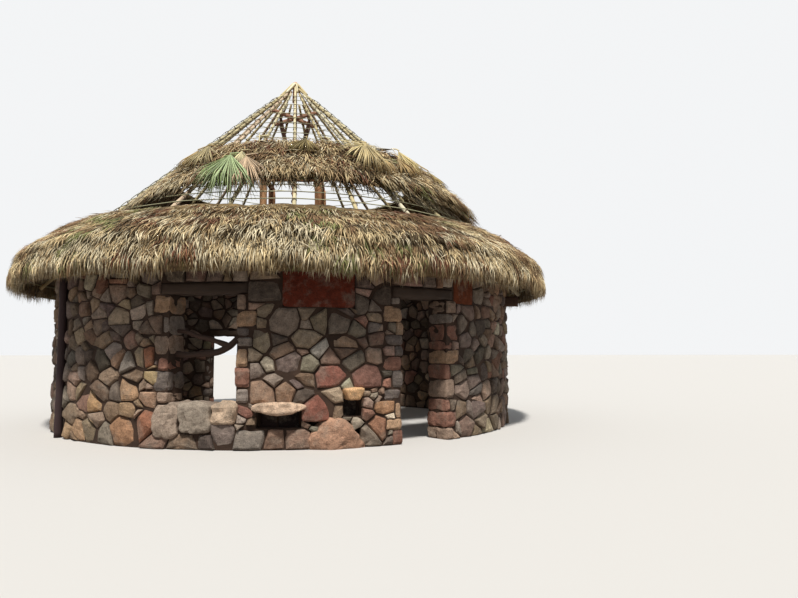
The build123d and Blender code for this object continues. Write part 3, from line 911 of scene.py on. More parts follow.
fringe_layers = 4
for layer in range(fringe_layers):
    depth = -0.03 - 0.055 * layer
    turn = bunch_turns(eave_radius, 0.15)
    wave = 0.10 * noise(place(turn, eave_radius, 3.0), 0.8, 45)
    place_down = nose_length - 0.20 + chance.uniform(-0.12, 0.06, len(turn)) + wave
    paints = pick_paints(lay_on(eave_face, turn, place_down, 0.0 * turn), 0.8, -0.15)
    owner, side = bunches(len(turn), 10, 0.12)
    blades = len(owner)
    lifts = depth + chance.uniform(-0.03, 0.03, (blades, 3))
    eave_corners.append(
        blade_corners(
            eave_face, turn[owner] + side / eave_radius, place_down[owner],
            chance.normal(0, 0.14, blades) + side * 0.8, chance.uniform(0.22, 0.42, blades),
            chance.uniform(0.013, 0.025, blades), np.minimum(lifts, 0.02),
            chance.normal(0, 0.06, blades), np.zeros(blades),
        )
    )
    # each layer further back is darker by a tenth: painted shade behind the outer layers
    tone = chance.uniform(0.6, 1.05, blades)[:, None] * (1 - 0.1 * layer)
    eave_tints.append(blade_tints(paints[owner] * tone, 0.6, 1.05))
add_leaves("eave_leaves", eave_corners, eave_tints)

# %% [markdown]
# The leaves of the middle band were thrown on more roughly, and many stick out. Its
# lower edge is ragged through its whole thickness: layer under layer of leaf ends.

# %% Rows of the middle band
middle_corners, middle_tints = [], []
middle_rows = 10
for row in range(middle_rows):
    share = (row + 0.5) / middle_rows
    turn = bunch_turns(2.4 + 1.5 * share, 0.15) - math.pi
    count = len(turn)
    upper, lower = middle_top(turn), middle_bottom(turn)
    place_down = upper + (lower - 0.42 - upper) * share + chance.uniform(-0.1, 0.1, count)
    lean = chance.normal(0, 0.3, count)
    paints = pick_paints(lay_on(middle_face, turn, place_down, 0.0 * turn), 1.6, 0.30)
    owner, side = bunches(count, 12, 0.12)
    blades = len(owner)
    wild = chance.random(blades) < 0.12
    wild = wild & (left_thin(turn)[owner] < 0.3)
    free = chance.uniform(-0.06, 0.05, blades) + wild * chance.uniform(0.02, 0.12, blades)
    root, belly = chance.uniform(-0.1, -0.03, blades), chance.uniform(-0.03, 0.03, blades)
    lifts = np.stack([root, free * 0.4 + belly, free], -1)
    lifts = lifts + course_rise(place_down[owner] + 0.12)[:, None]
    down = place_down[owner] + chance.uniform(-0.06, 0.06, blades)
    lean = lean[owner] + side * 1.6 + chance.normal(0, 0.22, blades)
    lean = lean + wild * chance.normal(0, 0.6, blades)
    length, width = chance.uniform(0.36, 0.66, blades), chance.uniform(0.013, 0.027, blades)
    curl, sag = chance.normal(0, 0.12, blades), chance.uniform(0.0, 0.05, blades)
    turn = turn[owner] + side / 3.3
    middle_corners.append(
        blade_corners(middle_face, turn, down, lean, length, width, lifts, curl, sag)
    )
    tone = chance.uniform(0.64, 1.3, blades)[:, None]
    bunch_tone = chance.uniform(0.74, 1.2, count)[owner][:, None]
    middle_tints.append(blade_tints(paints[owner] * tone * bunch_tone, 0.45, 1.1))

edge_radius, edge_layers = 4.0, 3
for layer in range(edge_layers):
    turn = bunch_turns(edge_radius, 0.16) - math.pi
    count = len(turn)
    place_down = middle_bottom(turn) - 0.34 + chance.uniform(-0.10, 0.12, count)
    paints = pick_paints(lay_on(middle_face, turn, place_down, 0.0 * turn), 1.6, 0.30)
    owner, side = bunches(count, 8, 0.13)
    blades = len(owner)
    depth = (np.maximum(middle_lift(turn), 0) * layer / (edge_layers - 1))[owner][:, None]
    middle_corners.append(
        blade_corners(
            middle_face, turn[owner] + side / edge_radius, place_down[owner],
            side * 1.2 + chance.normal(0, 0.25, blades), chance.uniform(0.34, 0.62, blades),
            chance.uniform(0.013, 0.027, blades),
            chance.uniform(-0.03, 0.03, (blades, 3)) - depth,
            chance.normal(0, 0.12, blades),
            chance.uniform(0.0, 0.10, blades) * (1 - layer / edge_layers),
        )
    )
    # each deeper layer is darker by a fifth: painted shade under the outer layers
    tone = chance.uniform(0.6, 1.2, blades)[:, None] * (1 - 0.2 * layer)
    middle_tints.append(blade_tints(paints[owner] * tone, 0.5, 1.05))
print("rows on the middle band", middle_rows, "and layers at its lower edge", edge_layers)

# %% [markdown]
# On top of the middle band lie a few whole leaves that were only thrown there: a stem,
# and from its end some forty blades that spread like the sticks of a fan. One model
# of a leaf could be set down many times, but no two are alike, so the blade function
# lays them too, each blade with its own lean from straight down.

# %% Whole fan leaves
# Azimuth, radius, middle lean, spread of the blades, length, stem's lean, height of
# the stem's end over the thatch, and paint
fan_leaves = [
    (-16.6, 3.86, 2, 90, 0.92, 178, 0.30, (206, 226, 168)),
    (-18.6, 3.84, -16, 80, 0.80, 176, 0.24, (168, 190, 126)),
    (-12.6, 3.84, 8, 80, 0.80, 172, 0.24, (240, 210, 174)),
    (-15.2, 3.60, 6, 60, 0.60, 176, 0.20, (240, 226, 178)),
    (22.3, 3.30, 0, 300, 0.62, 178, 0.22, (246, 226, 170)),
    (22.5, 3.36, 0, 60, 0.92, 178, 0.30, (240, 218, 164)),
    (25.5, 3.45, 10, 60, 0.74, 160, 0.18, (226, 196, 142)),
    (42.0, 3.10, 4, 80, 0.90, 178, 0.14, (244, 222, 160)),
    (41.0, 2.98, 176, 34, 0.58, 0, 0.10, (246, 240, 226)),
    (36.0, 3.40, 8, 70, 0.80, 150, 0.14, (206, 176, 124)),
    (-36.0, 3.20, -14, 90, 0.70, 170, 0.12, (196, 168, 116)),
    (-30.0, 3.25, 0, 80, 0.84, 193, 0.18, (214, 196, 148)),
    (-14.0, 2.85, 170, 90, 0.34, 10, 0.08, (240, 226, 178)),
    (12.0, 2.85, 165, 100, 0.30, 20, 0.08, (228, 214, 170)),
    (4.0, 3.10, -10, 90, 0.60, 172, 0.12, (176, 156, 104)),
    (55.0, 3.40, 5, 90, 0.70, 172, 0.08, (214, 188, 130)),
    (74.0, 3.10, 14, 90, 0.66, 168, 0.08, (160, 162, 100)),
    (98.0, 3.50, -12, 90, 0.70, 175, 0.14, (232, 212, 158)),
    (126.0, 3.20, 8, 110, 0.64, 172, 0.12, (190, 164, 112)),
    (152.0, 3.60, -6, 90, 0.70, 168, 0.14, (182, 200, 132)),
    (176.0, 3.30, 10, 100, 0.66, 176, 0.12, (240, 220, 168)),
    (-160.0, 3.70, -14, 90, 0.70, 170, 0.14, (204, 172, 122)),
    (-134.0, 3.30, 6, 110, 0.64, 174, 0.12, (224, 206, 150)),
    (-108.0, 3.55, -8, 90, 0.66, 170, 0.14, (150, 170, 104)),
    (-84.0, 3.30, 12, 70, 0.50, 172, 0.01, (226, 200, 150)),
    (-62.0, 3.45, -10, 60, 0.50, 170, 0.01, (200, 176, 124)),
]
fan_blades = 42
stem_points, stem_sides = 8, 6
stem_paths, stem_colours = [], []
for azimuth, radius, lean, spread, length, stem_lean, hub_lift, colour in fan_leaves:
    hub_turn = np.full(fan_blades, math.radians(azimuth))
    hub_down = np.full(fan_blades, (radius - 0.17) / math.cos(pitch))
    leans = np.radians(lean + np.linspace(-0.5, 0.5, fan_blades) * spread)
    leans += chance.normal(0, 0.05, fan_blades)
    rise = chance.uniform(0.0, 0.10, fan_blades)
    hub_lifts = np.full(fan_blades, hub_lift)
    lifts = np.stack([hub_lifts, hub_lifts * 0.72 + rise * 0.5, 0.02 + rise], -1)
    reach = length * chance.uniform(0.7, 1.1, fan_blades)
    past_edge = np.clip(hub_down + reach * np.cos(leans) - middle_bottom(hub_turn), 0, 1)
    middle_corners.append(
        blade_corners(
            middle_face, hub_turn, hub_down, leans, reach,
            chance.uniform(0.017, 0.027, fan_blades), lifts, chance.normal(0, 0.06, fan_blades),
            chance.uniform(0.0, 0.04, fan_blades) + 0.5 * past_edge,
        )
    )
    tone = chance.uniform(0.5, 1.2, fan_blades)[:, None] * paint_value(*colour)
    middle_tints.append(blade_tints(tone, 0.75, 1.05))
    share = np.linspace(0, 1, stem_points)
    stem_run = hub_down[0] + 0.7 * length * share * math.cos(math.radians(stem_lean))
    stem_side = 0.7 * length * share * math.sin(math.radians(stem_lean)) / radius
    stem_lift = hub_lift * (1 - share) + 0.02 + 0.03 * share * (1 - share)
    stem_paths.append(lay_on(middle_face, hub_turn[0] + stem_side, stem_run, stem_lift))
    stem_colours.append(paint_value(*colour) * 0.95)
add_leaves("middle_leaves", middle_corners, middle_tints)
stem_radii = 0.013 - 0.004 * np.linspace(0, 1, stem_points)
stem_corners = tube_corners(np.array(stem_paths), stem_radii, stem_sides)
stem_quads, stem_caps = outward(
    stem_corners[0] - stem_corners[0].mean(axis=0), *tube_faces(stem_points, stem_sides)
)
stems_each = stem_corners.shape[1]
add_piece(
    "fan_stems", stem_corners.reshape(-1, 3),
    repeat_faces(stem_quads, len(fan_leaves), stems_each),
    repeat_faces(stem_caps, len(fan_leaves), stems_each),
    np.repeat(stem_colours, stems_each, axis=0), leaf,
)
print("whole fan leaves", len(fan_leaves))

# %% [markdown]
# The wall is volcanic rubble: every stone has its own outline and they fit like
# cobbles, with deep joints of brown earth. Such a pattern is what one gets when each
# point of the wall belongs to the nearest of many seeds. Each seed's stone is found
# in polar form: in every direction it reaches as far as the nearest halfway line to a
# neighbour. A weight for each seed makes some stones large, and openings count as
# neighbours too, so no stone hangs into a window.

# %% Outlines of the rubble stones
stone_stretch = 1.18
joint_gap = 0.004
neighbours = 14


def stone_reach(seeds, weights, limits, angles, ring_length, corner=16.0):
    """Reach of each stone in each direction. A neighbour at distance D and bearing B
    puts the halfway line at (D*D + own weight - its weight) / (2 D), so the reach in
    direction A is that over cos(A - B); a smooth minimum over the nearest fourteen
    neighbours and the limits takes the very points off the corners."""
    step = seeds[None, :, :] - seeds[:, None, :]
    step[..., 0] = (step[..., 0] + ring_length / 2) % ring_length - ring_length / 2
    apart = np.hypot(step[..., 0], step[..., 1])
    np.fill_diagonal(apart, 99.0)
    near = np.argsort(apart, axis=1)[:, :neighbours]
    rows = np.arange(len(seeds))[:, None]
    distance = apart[rows, near]
    halfway = (distance**2 + weights[:, None] - weights[near]) / (2 * distance)
    bearing = np.arctan2(step[rows, near, 1], step[rows, near, 0])
    halfway = np.concatenate([halfway, limits[0]], axis=1) - joint_gap
    bearing = np.concatenate([bearing, limits[1]], axis=1)
    facing = np.cos(angles[None, :, None] - bearing[:, None, :])
    reach = np.maximum(halfway, 0.02)[:, None, :] / np.maximum(facing, 0.04)
    return (reach**-corner).sum(axis=2) ** (-1 / corner)


def stone_outline(seeds, weights, limits, ring_length, count):
    """Directions and reaches of each stone's outline corners. The reach is worked out
    in six times as many directions as are kept, and of every six the one is kept where
    the outline bends most, so that a stone's sharp corners are not cut off."""
    fine = even_turns(count * 6)
    reach = stone_reach(seeds, weights, limits, fine, ring_length)
    bend = 2 * reach - np.roll(reach, 1, axis=1) - np.roll(reach, -1, axis=1)
    chosen = bend.reshape(len(seeds), count, 6).argmax(-1) + np.arange(count) * 6
    return fine[chosen], np.take_along_axis(reach, chosen, 1)


def limits_of(seeds, blocks, height):
    """Halfway distances and bearings that keep stones out of rectangles (low and high
    along the wall, low and high in height): the side of the rectangle that the seed
    is furthest outside of. Ground and wall head are limits for every stone."""
    along, up = seeds[:, :1], seeds[:, 1:]
    low_u, high_u, low_z, high_z = (np.array(blocks)[:, column][None, :] for column in range(4))
    outside = np.stack([low_u - along, along - high_u, low_z - up, up - high_z], -1)
    side = outside.argmax(-1)
    distance = np.take_along_axis(outside, side[..., None], -1)[..., 0]
    bearing = np.array([0, math.pi, math.pi / 2, -math.pi / 2])[side]
    ends = np.concatenate([up, height - up], axis=1)
    ends_bearing = np.broadcast_to([-math.pi / 2, math.pi / 2], ends.shape)
    return np.concatenate([distance, ends], axis=1), np.concatenate([bearing, ends_bearing], axis=1)


def squeeze(seeds, blocks):
    """Stones are longer than they are high, so outlines are worked out on a wall that
    is squeezed lengthwise, and are stretched again after."""
    narrow = 1 / stone_stretch
    return seeds * [narrow, 1.0], np.array(blocks) * [narrow, narrow, 1, 1]


print("each stone is measured against", neighbours, "neighbours")

# %% [markdown]
# A waller puts large stones low and fills up with smaller ones. Seeds strewn at random
# would not look laid, so they stand in staggered courses that get lower with height,
# each a little out of place, with small stones here and there between them.

# %% Seeds of the stones
seed_clear = 0.06


def stone_seeds(ring_length, height, size_low, size_high, blocks, extra):
    """Seeds in staggered courses that get lower with height, each moved at random,
    with some small stones in between; none inside a rectangle or near an extra one."""
    seeds = []
    level = 0.0
    while level < height - 0.12:
        course = size_low + (size_high - size_low) * level / height
        count = int(ring_length / (course * 1.12))
        along = (np.arange(count) + chance.uniform(-0.36, 0.36, count)) * ring_length / count
        up = level + course * 0.5 + chance.uniform(-0.30, 0.30, count) * course
        seeds.append(np.stack([along + chance.uniform(0, course), up], -1))
        small = chance.random(count) < 0.26
        between_up = up + course * chance.uniform(0.3, 0.6, count)
        seeds.append(np.stack([along + course * 0.5, between_up], -1)[small])
        level += course
    seeds = np.concatenate(seeds)
    weights = chance.normal(0, 0.013, len(seeds))
    keep = (seeds[:, 1] > 0.07) & (seeds[:, 1] < height - 0.06)
    seeds[:, 0] = (seeds[:, 0] + ring_length / 2) % ring_length - ring_length / 2
    for low_u, high_u, low_z, high_z in blocks:
        inside = (seeds[:, 0] > low_u - seed_clear) & (seeds[:, 0] < high_u + seed_clear)
        inside &= (seeds[:, 1] > low_z - seed_clear) & (seeds[:, 1] < high_z + seed_clear)
        keep &= ~inside
    for along, up, clear in extra:
        keep &= np.hypot(seeds[:, 0] - along, seeds[:, 1] - up) > clear
    return seeds[keep], weights[keep]


print("seeds stay", seed_clear, "m clear of openings")

# %% [markdown]
# The stones were split with a hammer, so their faces are tilted and chipped and not
# domed like pebbles. A few rings of corners, each with its own share of the outline
# and of the height, make a stone; sculpting every one by hand would take weeks.

# %% Bodies of the stones
chips = 4


def stones_mesh(seeds, weights, blocks, radius, outside, angle_count, rings, depth, ring_length):
    """Corners of all stones. Each ring of a stone is its outline times a share of the
    reach, lifted from the wall by a share of the stone's own height. The face is
    tilted, each chip is a plane that falls away beyond its own distance from the
    middle, and noise roughens it. Back and crown are closed by one corner each."""
    own, narrow = squeeze(seeds, blocks)
    limits = limits_of(own, narrow, wall_top)
    angles, reach = stone_outline(own, weights, limits, ring_length / stone_stretch, angle_count)
    angles = angles[:, None, :]
    shares = np.array([share for share, _ in rings])[None, :, None]
    lifts = np.array([lift for _, lift in rings])[None, :, None]
    span_u = reach[:, None, :] * shares * np.cos(angles) * stone_stretch
    span_z = reach[:, None, :] * shares * np.sin(angles)
    height = depth * chance.uniform(0.55, 1.35, len(seeds))[:, None, None]
    tilt = chance.normal(0, 0.13, (2, len(seeds)))[:, :, None, None]
    chip_turn = chance.uniform(0, 2 * math.pi, (chips, len(seeds)))[:, :, None, None]
    chip_start = chance.uniform(0.25, 0.75, (chips, len(seeds)))[:, :, None, None]
    chip_fall = chance.uniform(0.3, 1.5, (chips, len(seeds)))[:, :, None, None]
    chip = np.maximum(shares * np.cos(angles - chip_turn) - chip_start, 0) * chip_fall
    lift = height * (lifts - chip.max(axis=0) * (lifts > 0))
    lift = lift + (tilt[0] * span_u + tilt[1] * span_z) * (lifts > 0)
    along = seeds[:, 0][:, None, None] + span_u
    up = seeds[:, 1][:, None, None] + span_z
    rough = noise(np.stack([along, up, np.full(along.shape, radius)], -1), 0.12, 5) * 0.012
    rough += noise(np.stack([along, up, np.full(along.shape, radius)], -1), 0.05, 6) * 0.009
    lift = lift + rough * (lifts > 0)
    ends_u = np.repeat(seeds[:, :1], 2, axis=1)
    ends_z = np.repeat(seeds[:, 1:], 2, axis=1)
    ends_lift = np.stack([np.full(len(seeds), -0.05), height[:, 0, 0] * 1.02], -1)
    along = np.concatenate([along.reshape(len(seeds), -1), ends_u], axis=1)
    up = np.concatenate([up.reshape(len(seeds), -1), ends_z], axis=1)
    lift = np.concatenate([lift.reshape(len(seeds), -1), ends_lift], axis=1)
    lift = np.minimum(lift, depth * 1.7)
    return place(along / radius, radius + (lift if outside else -lift), up)


print("chips struck off each stone", chips)

# %% [markdown]
# Stones from one quarry are never of one colour. Each gets a single paint, with odds
# that follow the real wall, and more dark stones high up as painted shade under the
# eave. The foot of each stone is darker where it meets the mortar.

# %% Paints of the stones
# Grey-brown, dark, tan, brown, red, orange and pale
stone_paints = paint_rows(
    [
        (158, 142, 128), (122, 109, 98), (176, 151, 130), (150, 125, 106), (156, 118, 100),
        (188, 156, 126), (200, 186, 164),
    ]
)


def ring_shades(rings, angle_count):
    """Shade of a stone's corners: darker at its foot and sides where it meets the mortar,
    its own colour on the face and a little lighter at the crown.
    """
    shades = np.repeat([0.45, 0.8, 1.0, 1.04][:rings], angle_count)
    return np.concatenate([shades, [0.5, 1.04]])


def stone_tints(seeds, shades):
    """One paint per stone, with odds that move with slow noise along the wall: grey
    and brown everywhere, red low on the right, orange low on the left, and more dark
    stones above a metre and a half, as painted shade under the eave."""
    along, up = seeds[:, 0], seeds[:, 1]
    patch = noise(np.stack([along, up, 0 * up], -1), 1.3, 51)
    low = np.clip(1.4 - up, 0, 1.2)
    odds = np.stack(
        [
            1.1 + patch,
            # more dark stones above 1.5 m: painted shade under the eave
            1.0 + 0.5 * patch + 0.3 * np.clip(up - 1.5, 0, 1),
            1.2 - 0.5 * patch,
            1.0 + 0.0 * patch,
            0.20 + 0.22 * low * (along > -0.6) * (along < 2.2),
            0.10 + 0.8 * low * (along < -2.2) * (along > -5),
            0.22 + 0.0 * patch,
        ],
        -1,
    )
    own = pick(stone_paints, np.clip(odds, 0.02, 9))
    tone = chance.uniform(0.62, 1.25, (len(seeds), 1))
    tone = tone * (1 + chance.normal(0, 0.04, (len(seeds), 3)))
    return ((own * tone)[:, None, :] * shades[None, :, None]).reshape(-1, 3)


print("paints of stone", len(stone_paints))

# %% [markdown]
# Beside each opening the wall ends in corner stones, the jambs, laid long and short in
# turn so that they bond into the wall. They are laid out first, because the rubble has
# to stop at them, and so has the room for a lintel over each opening.

# %% Openings and jambs
def wall_block(start, end, low, high, edge=0.0, radius=wall_radius):
    """A rectangle on a face of the wall: azimuths in degrees become lengths along it,
    and an edge widens it on both sides."""
    return (math.radians(start) * radius - edge, math.radians(end) * radius + edge, low, high)


openings = {
    "window": (-24.0, -10.3, 0.75, 2.55),
    "door": (22.0, 34.0, 0.0, 2.55),
    "back_door": (-164.5, -150.5, 0.0, 2.05),
}
lintel_rise, lintel_rest = 0.20, 0.16


def jamb_blocks(turn, low, high, towards):
    """A stack of corner stones beside an opening, long and short in turn; towards is
    the side of the opening that the wall lies on, -1 or 1. Each row is the middle
    azimuth, height and radius, then half the length, the height and the depth."""
    rows, level, number = [], low, 0
    middle_radius = (wall_radius + wall_inner) / 2 + 0.01
    while level < high - 0.05:
        rise = min(chance.uniform(0.15, 0.36), high - level)
        if high - level - rise < 0.12:
            rise = high - level
        reach = chance.uniform(0.22, 0.36) if number % 2 else chance.uniform(0.11, 0.20)
        offset = towards * (reach / 2 - chance.uniform(0.0, 0.03))
        middle = (turn + math.degrees(offset / middle_radius), level + rise / 2, middle_radius)
        depth = (wall_radius - wall_inner) / 2 + chance.uniform(0.01, 0.04)
        rows.append(middle + (reach / 2 + 0.004, rise / 2 - 0.003, depth))
        level += rise
        number += 1
    return rows


def jamb_rectangles(rows, radius):
    """The rectangles that jamb stones cover on a face of the wall."""
    return [
        (
            math.radians(turn) * radius - length, math.radians(turn) * radius + length,
            up - rise, up + rise,
        )
        for turn, up, _, length, rise, _ in rows
    ]


jambs = []
for start, end, low, high in openings.values():
    jambs += jamb_blocks(start, low, high, -1)
    jambs += jamb_blocks(end, low, high, 1)


def opening_blocks(radius):
    """What the stones of one face leave free for openings, lintels and jambs."""
    blocks = []
    for start, end, low, high in openings.values():
        blocks.append(wall_block(start, end, low, high, 0.0, radius))
        blocks.append(wall_block(start, end, high, high + lintel_rise, lintel_rest, radius))
    return blocks + jamb_rectangles(jambs, radius)


print("jamb stones", len(jambs))

# %% [markdown]
# Ledges, panels, the boulder and the beam's end also take their room in the wall. A
# few stones of strong colour are easy to recognise, so those are given one by one,
# with more weight than others, and all the rest is left to the rule.

# %% Places in the outer face
reserved = opening_blocks(wall_radius)
features = {
    "red_panel": (-1.9, 12.0, 2.34, 3.02),
    "side_panel": (36.5, 43.5, 2.50, 3.18),
    "base_boulder": (3.8, 13.2, 0.0, 0.26),
    "boulder_crown": (5.2, 11.2, 0.26, 0.44),
    "ledge_stone": (-6.4, 1.8, 0.35, 0.74),
    "small_ledge_stone": (9.9, 13.5, 0.52, 0.98),
    "window_sill": (-26.2, -15.0, 0.26, 0.75),
    "sill_end": (-15.0, -10.3, 0.45, 0.75),
    "beam_end": (68.7, 71.3, 2.61, 2.84),
    "eave_post": (-59.1, -56.9, 0.0, 3.37),
}
reserved += [wall_block(*block) for block in features.values()]

# Single stones that stand out: azimuth, height, weight, clear distance, paint
lone_stones = [
    (4.6, 0.60, 0.030, 0.26, (146, 98, 84)),
    (7.4, 1.20, 0.018, 0.24, (156, 106, 92)),
    (14.9, 1.13, 0.030, 0.28, (140, 104, 92)),
    (17.3, 0.30, 0.020, 0.22, (164, 122, 98)),
    (5.0, 1.62, -0.006, 0.15, (208, 200, 186)),
    (-7.5, 0.22, 0.035, 0.30, (138, 128, 118)),
    (2.6, 1.42, 0.004, 0.18, (150, 142, 122)),
    (18.8, 0.72, 0.012, 0.20, (190, 146, 112)),
    (-34.0, 0.30, 0.030, 0.28, (176, 136, 106)),
    (-29.0, 0.42, 0.014, 0.20, (166, 116, 92)),
    (-33.0, 0.95, 0.020, 0.24, (186, 150, 118)),
    (-27.5, 1.50, 0.006, 0.18, (172, 120, 94)),
    (-26.3, 1.18, 0.006, 0.18, (190, 166, 126)),
    (-43.0, 0.70, 0.020, 0.24, (184, 148, 110)),
]
print("places kept free", len(reserved), "and stones set by hand", len(lone_stones))

# %% [markdown]
# Where large stones meet, gaps of bare earth are left over, and a waller pushes small
# stones into them. Finding the gaps means measuring how far each spot of a fine grid
# is from every outline, which arrays do in a moment.

# %% Small stones for the gaps
directions = 72


def small_stones(seeds, weights, blocks, ring_length, apart):
    """All seeds, with those of small stones for the gaps. A place is as clear as its
    distance from a seed less the seed's reach that way. The clearest are taken first,
    each at least the distance apart from those already taken."""
    own, narrow = squeeze(seeds, blocks)
    squeezed_ring = ring_length / stone_stretch
    limits = limits_of(own, narrow, wall_top)
    reach = stone_reach(own, weights, limits, even_turns(directions), squeezed_ring)
    along, up = np.meshgrid(
        np.arange(-ring_length / 2, ring_length / 2, 0.06), np.arange(0.06, wall_top - 0.05, 0.05)
    )
    spots = np.stack([along.ravel(), up.ravel()], -1)
    spots += chance.uniform(-0.02, 0.02, spots.shape)
    clear = np.full(len(spots), 0.09)
    for low_u, high_u, low_z, high_z in blocks:
        beside = np.maximum(low_u - spots[:, 0], spots[:, 0] - high_u)
        above = np.maximum(low_z - spots[:, 1], spots[:, 1] - high_z)
        clear = np.minimum(clear, np.maximum(beside, above))
    narrow_spots, _ = squeeze(spots, blocks)
    for (along, up), outline in zip(own, reach):
        step = narrow_spots - [along, up]
        step[:, 0] = (step[:, 0] + squeezed_ring / 2) % squeezed_ring - squeezed_ring / 2
        near = np.flatnonzero((np.abs(step[:, 0]) < 0.6) & (np.abs(step[:, 1]) < 0.6))
        away = np.hypot(step[near, 0], step[near, 1])
        turn = np.arctan2(step[near, 1], step[near, 0]) % (2 * math.pi)
        towards = outline[(turn / (2 * math.pi) * directions).astype(int) % directions]
        clear[near] = np.minimum(clear[near], away - towards)
    taken = []
    for index in np.argsort(-clear):
        if clear[index] < 0.026:
            break
        spot = spots[index]
        if all(abs(spot[0] - x) + abs(spot[1] - y) > apart for x, y in taken):
            taken.append(spot)
    print("small stones in gaps", len(taken))
    return np.concatenate([seeds, taken]), np.concatenate([weights, np.full(len(taken), -0.018)])


print("directions measured round each stone", directions)

# %% [markdown]
# Now the outer face is laid. Twelve corners round and four rings up are enough for a
# stone a foot wide, because the finish adds the pits and the grain.

# %% Stones of the outer face
lone_places = [
    (math.radians(turn) * wall_radius, up, clear) for turn, up, _, clear, _ in lone_stones
]
seeds, weights = stone_seeds(girth, wall_top, 0.35, 0.24, reserved, lone_places)
lone_seeds = np.array([(along, up) for along, up, _ in lone_places])
lone_weights = np.array([weight for _, _, weight, _, _ in lone_stones])
seeds = np.concatenate([lone_seeds, seeds])
weights = np.concatenate([lone_weights, weights])
for apart in (0.22, 0.15):
    seeds, weights = small_stones(seeds, weights, reserved, girth, apart)
outer_rings = [(1.0, -0.6), (0.97, 0.45), (0.80, 0.88), (0.42, 1.0)]
stone_angles = 12
shades = ring_shades(len(outer_rings), stone_angles)
tints = stone_tints(seeds, shades).reshape(len(seeds), -1, 3)
lone_tints = paint_rows([paint for *_, paint in lone_stones])[:, None, :]
tints[: len(lone_stones)] = lone_tints * shades[None, :, None]
stones = stones_mesh(
    seeds, weights, reserved, wall_radius, True, stone_angles, outer_rings, 0.056, girth
)
turned = np.degrees(seeds[:, 0] / wall_radius)
faces = tube_faces(len(outer_rings), stone_angles)
add_quarters("rubble", stones, tints, turned, faces, rubble, smooth=False)
print("stones in the outer face", len(seeds))

# %% [markdown]
# The inner face shows through the window, the doors and the open roof. Its stones are
# made the same way with fewer corners.

# %% Stones of the inner face
inner_girth = 2 * math.pi * wall_inner
inner_reserved = opening_blocks(wall_inner)
inner_reserved.append(wall_block(-24.0, -10.3, 0.55, 0.75, radius=wall_inner))
inner_reserved.append(wall_block(68.7, 71.3, 2.61, 2.84, radius=wall_inner))
seeds, weights = stone_seeds(inner_girth, wall_top, 0.34, 0.27, inner_reserved, [])
seeds, weights = small_stones(seeds, weights, inner_reserved, inner_girth, 0.22)
inner_rings = [(1.0, -0.6), (0.90, 0.66), (0.55, 1.0)]
inner_angles = 9
stones = stones_mesh(
    seeds, weights, inner_reserved, wall_inner, False, inner_angles, inner_rings, 0.035, inner_girth
)
faces = outward(stones[0] - stones[0].mean(axis=0), *tube_faces(len(inner_rings), inner_angles))
quads, triangles = (repeat_faces(kind, len(seeds), stones.shape[1]) for kind in faces)
tints = stone_tints(seeds, ring_shades(len(inner_rings), inner_angles))
flat = stones.reshape(-1, 3)
add_piece("rubble_inside", flat, quads, triangles, tints, rubble, smooth=False)
print("stones in the inner face", len(seeds))

# %% [markdown]
# Jambs, sill, ledges, the boulder and the clay panels are single blocks. Each could be
# sculpted by hand, but one rule gives them all: a rounded block is a cube's grid pulled
# in so that the sum of its coordinates' high powers is one. A power of three gives a
# boulder, ten a squared block. It is then bent round the wall and disturbed by noise.

# %% Rounded blocks
def cube_shell(steps):
    """Corners and squares of a cube's surface, each side a grid of steps by steps,
    with the corners shared where sides meet."""
    line = np.linspace(-1, 1, steps + 1)
    first, second = np.meshgrid(line, line, indexing="ij")
    flat = np.stack([first.ravel(), second.ravel(), np.ones(first.size)], -1)
    index = np.arange(first.size).reshape(steps + 1, steps + 1)
    square = np.stack(
        [index[:-1, :-1], index[1:, :-1], index[1:, 1:], index[:-1, 1:]], -1
    ).reshape(-1, 4)
    sides, squares = [], []
    for axis in range(3):
        for sign in (1, -1):
            side = np.roll(flat * [1, sign, sign], axis, axis=1)
            squares.append(square + len(sides) * len(flat))
            sides.append(side)
    every = np.concatenate(sides)
    corners, back = np.unique(np.round(every, 6), axis=0, return_inverse=True)
    return corners, back.reshape(-1)[np.concatenate(squares)]


def bent_blocks(rows, steps, power, rough, seed, form):
    """Blocks bent round the wall. Each row is middle azimuth (degrees), middle height,
    middle radius, then half length, half height and half depth. The cube's corners are
    divided by the power mean of their coordinates, a form may pull them together, and
    noise moves them."""
    shell, squares = cube_shell(steps)
    shell = shell / ((np.abs(shell) ** power).sum(axis=1) ** (1 / power))[:, None]
    if form:
        shell = form(shell[:, 0], shell[:, 1], shell[:, 2])
    rows = np.array(rows, dtype=float)
    turn, up, radius, half_length, half_height, half_depth = (rows[:, c][:, None] for c in range(6))
    depth = radius + shell[None, :, 2] * half_depth
    azimuth = np.radians(turn) + shell[None, :, 0] * half_length / radius
    corners = place(azimuth, depth, up + shell[None, :, 1] * half_height)
    moved = noise(corners, 0.22, seed) * rough + noise(corners, 0.07, seed + 1) * rough * 0.5
    centre = corners.mean(axis=1, keepdims=True)
    away = corners - centre
    away /= np.linalg.norm(away, axis=-1, keepdims=True)
    corners = corners + away * moved[..., None]
    copies, each = corners.shape[:2]
    flat = corners.reshape(-1, 3)
    quads, none = outward(corners[0] - centre[0], squares, [])
    return flat, repeat_faces(quads, copies, each), each


def add_blocks(name, rows, paints, slot, replaced, steps, power, rough, seed, form=None):
    """Makes the blocks and gives each its own paint."""
    corners, quads, each = bent_blocks(rows, steps, power, rough, seed, form)
    colours = np.repeat(paint_rows(paints), each, axis=0)
    return add_piece(name, corners, quads, [], colours, rubble, replaced, smooth=False)


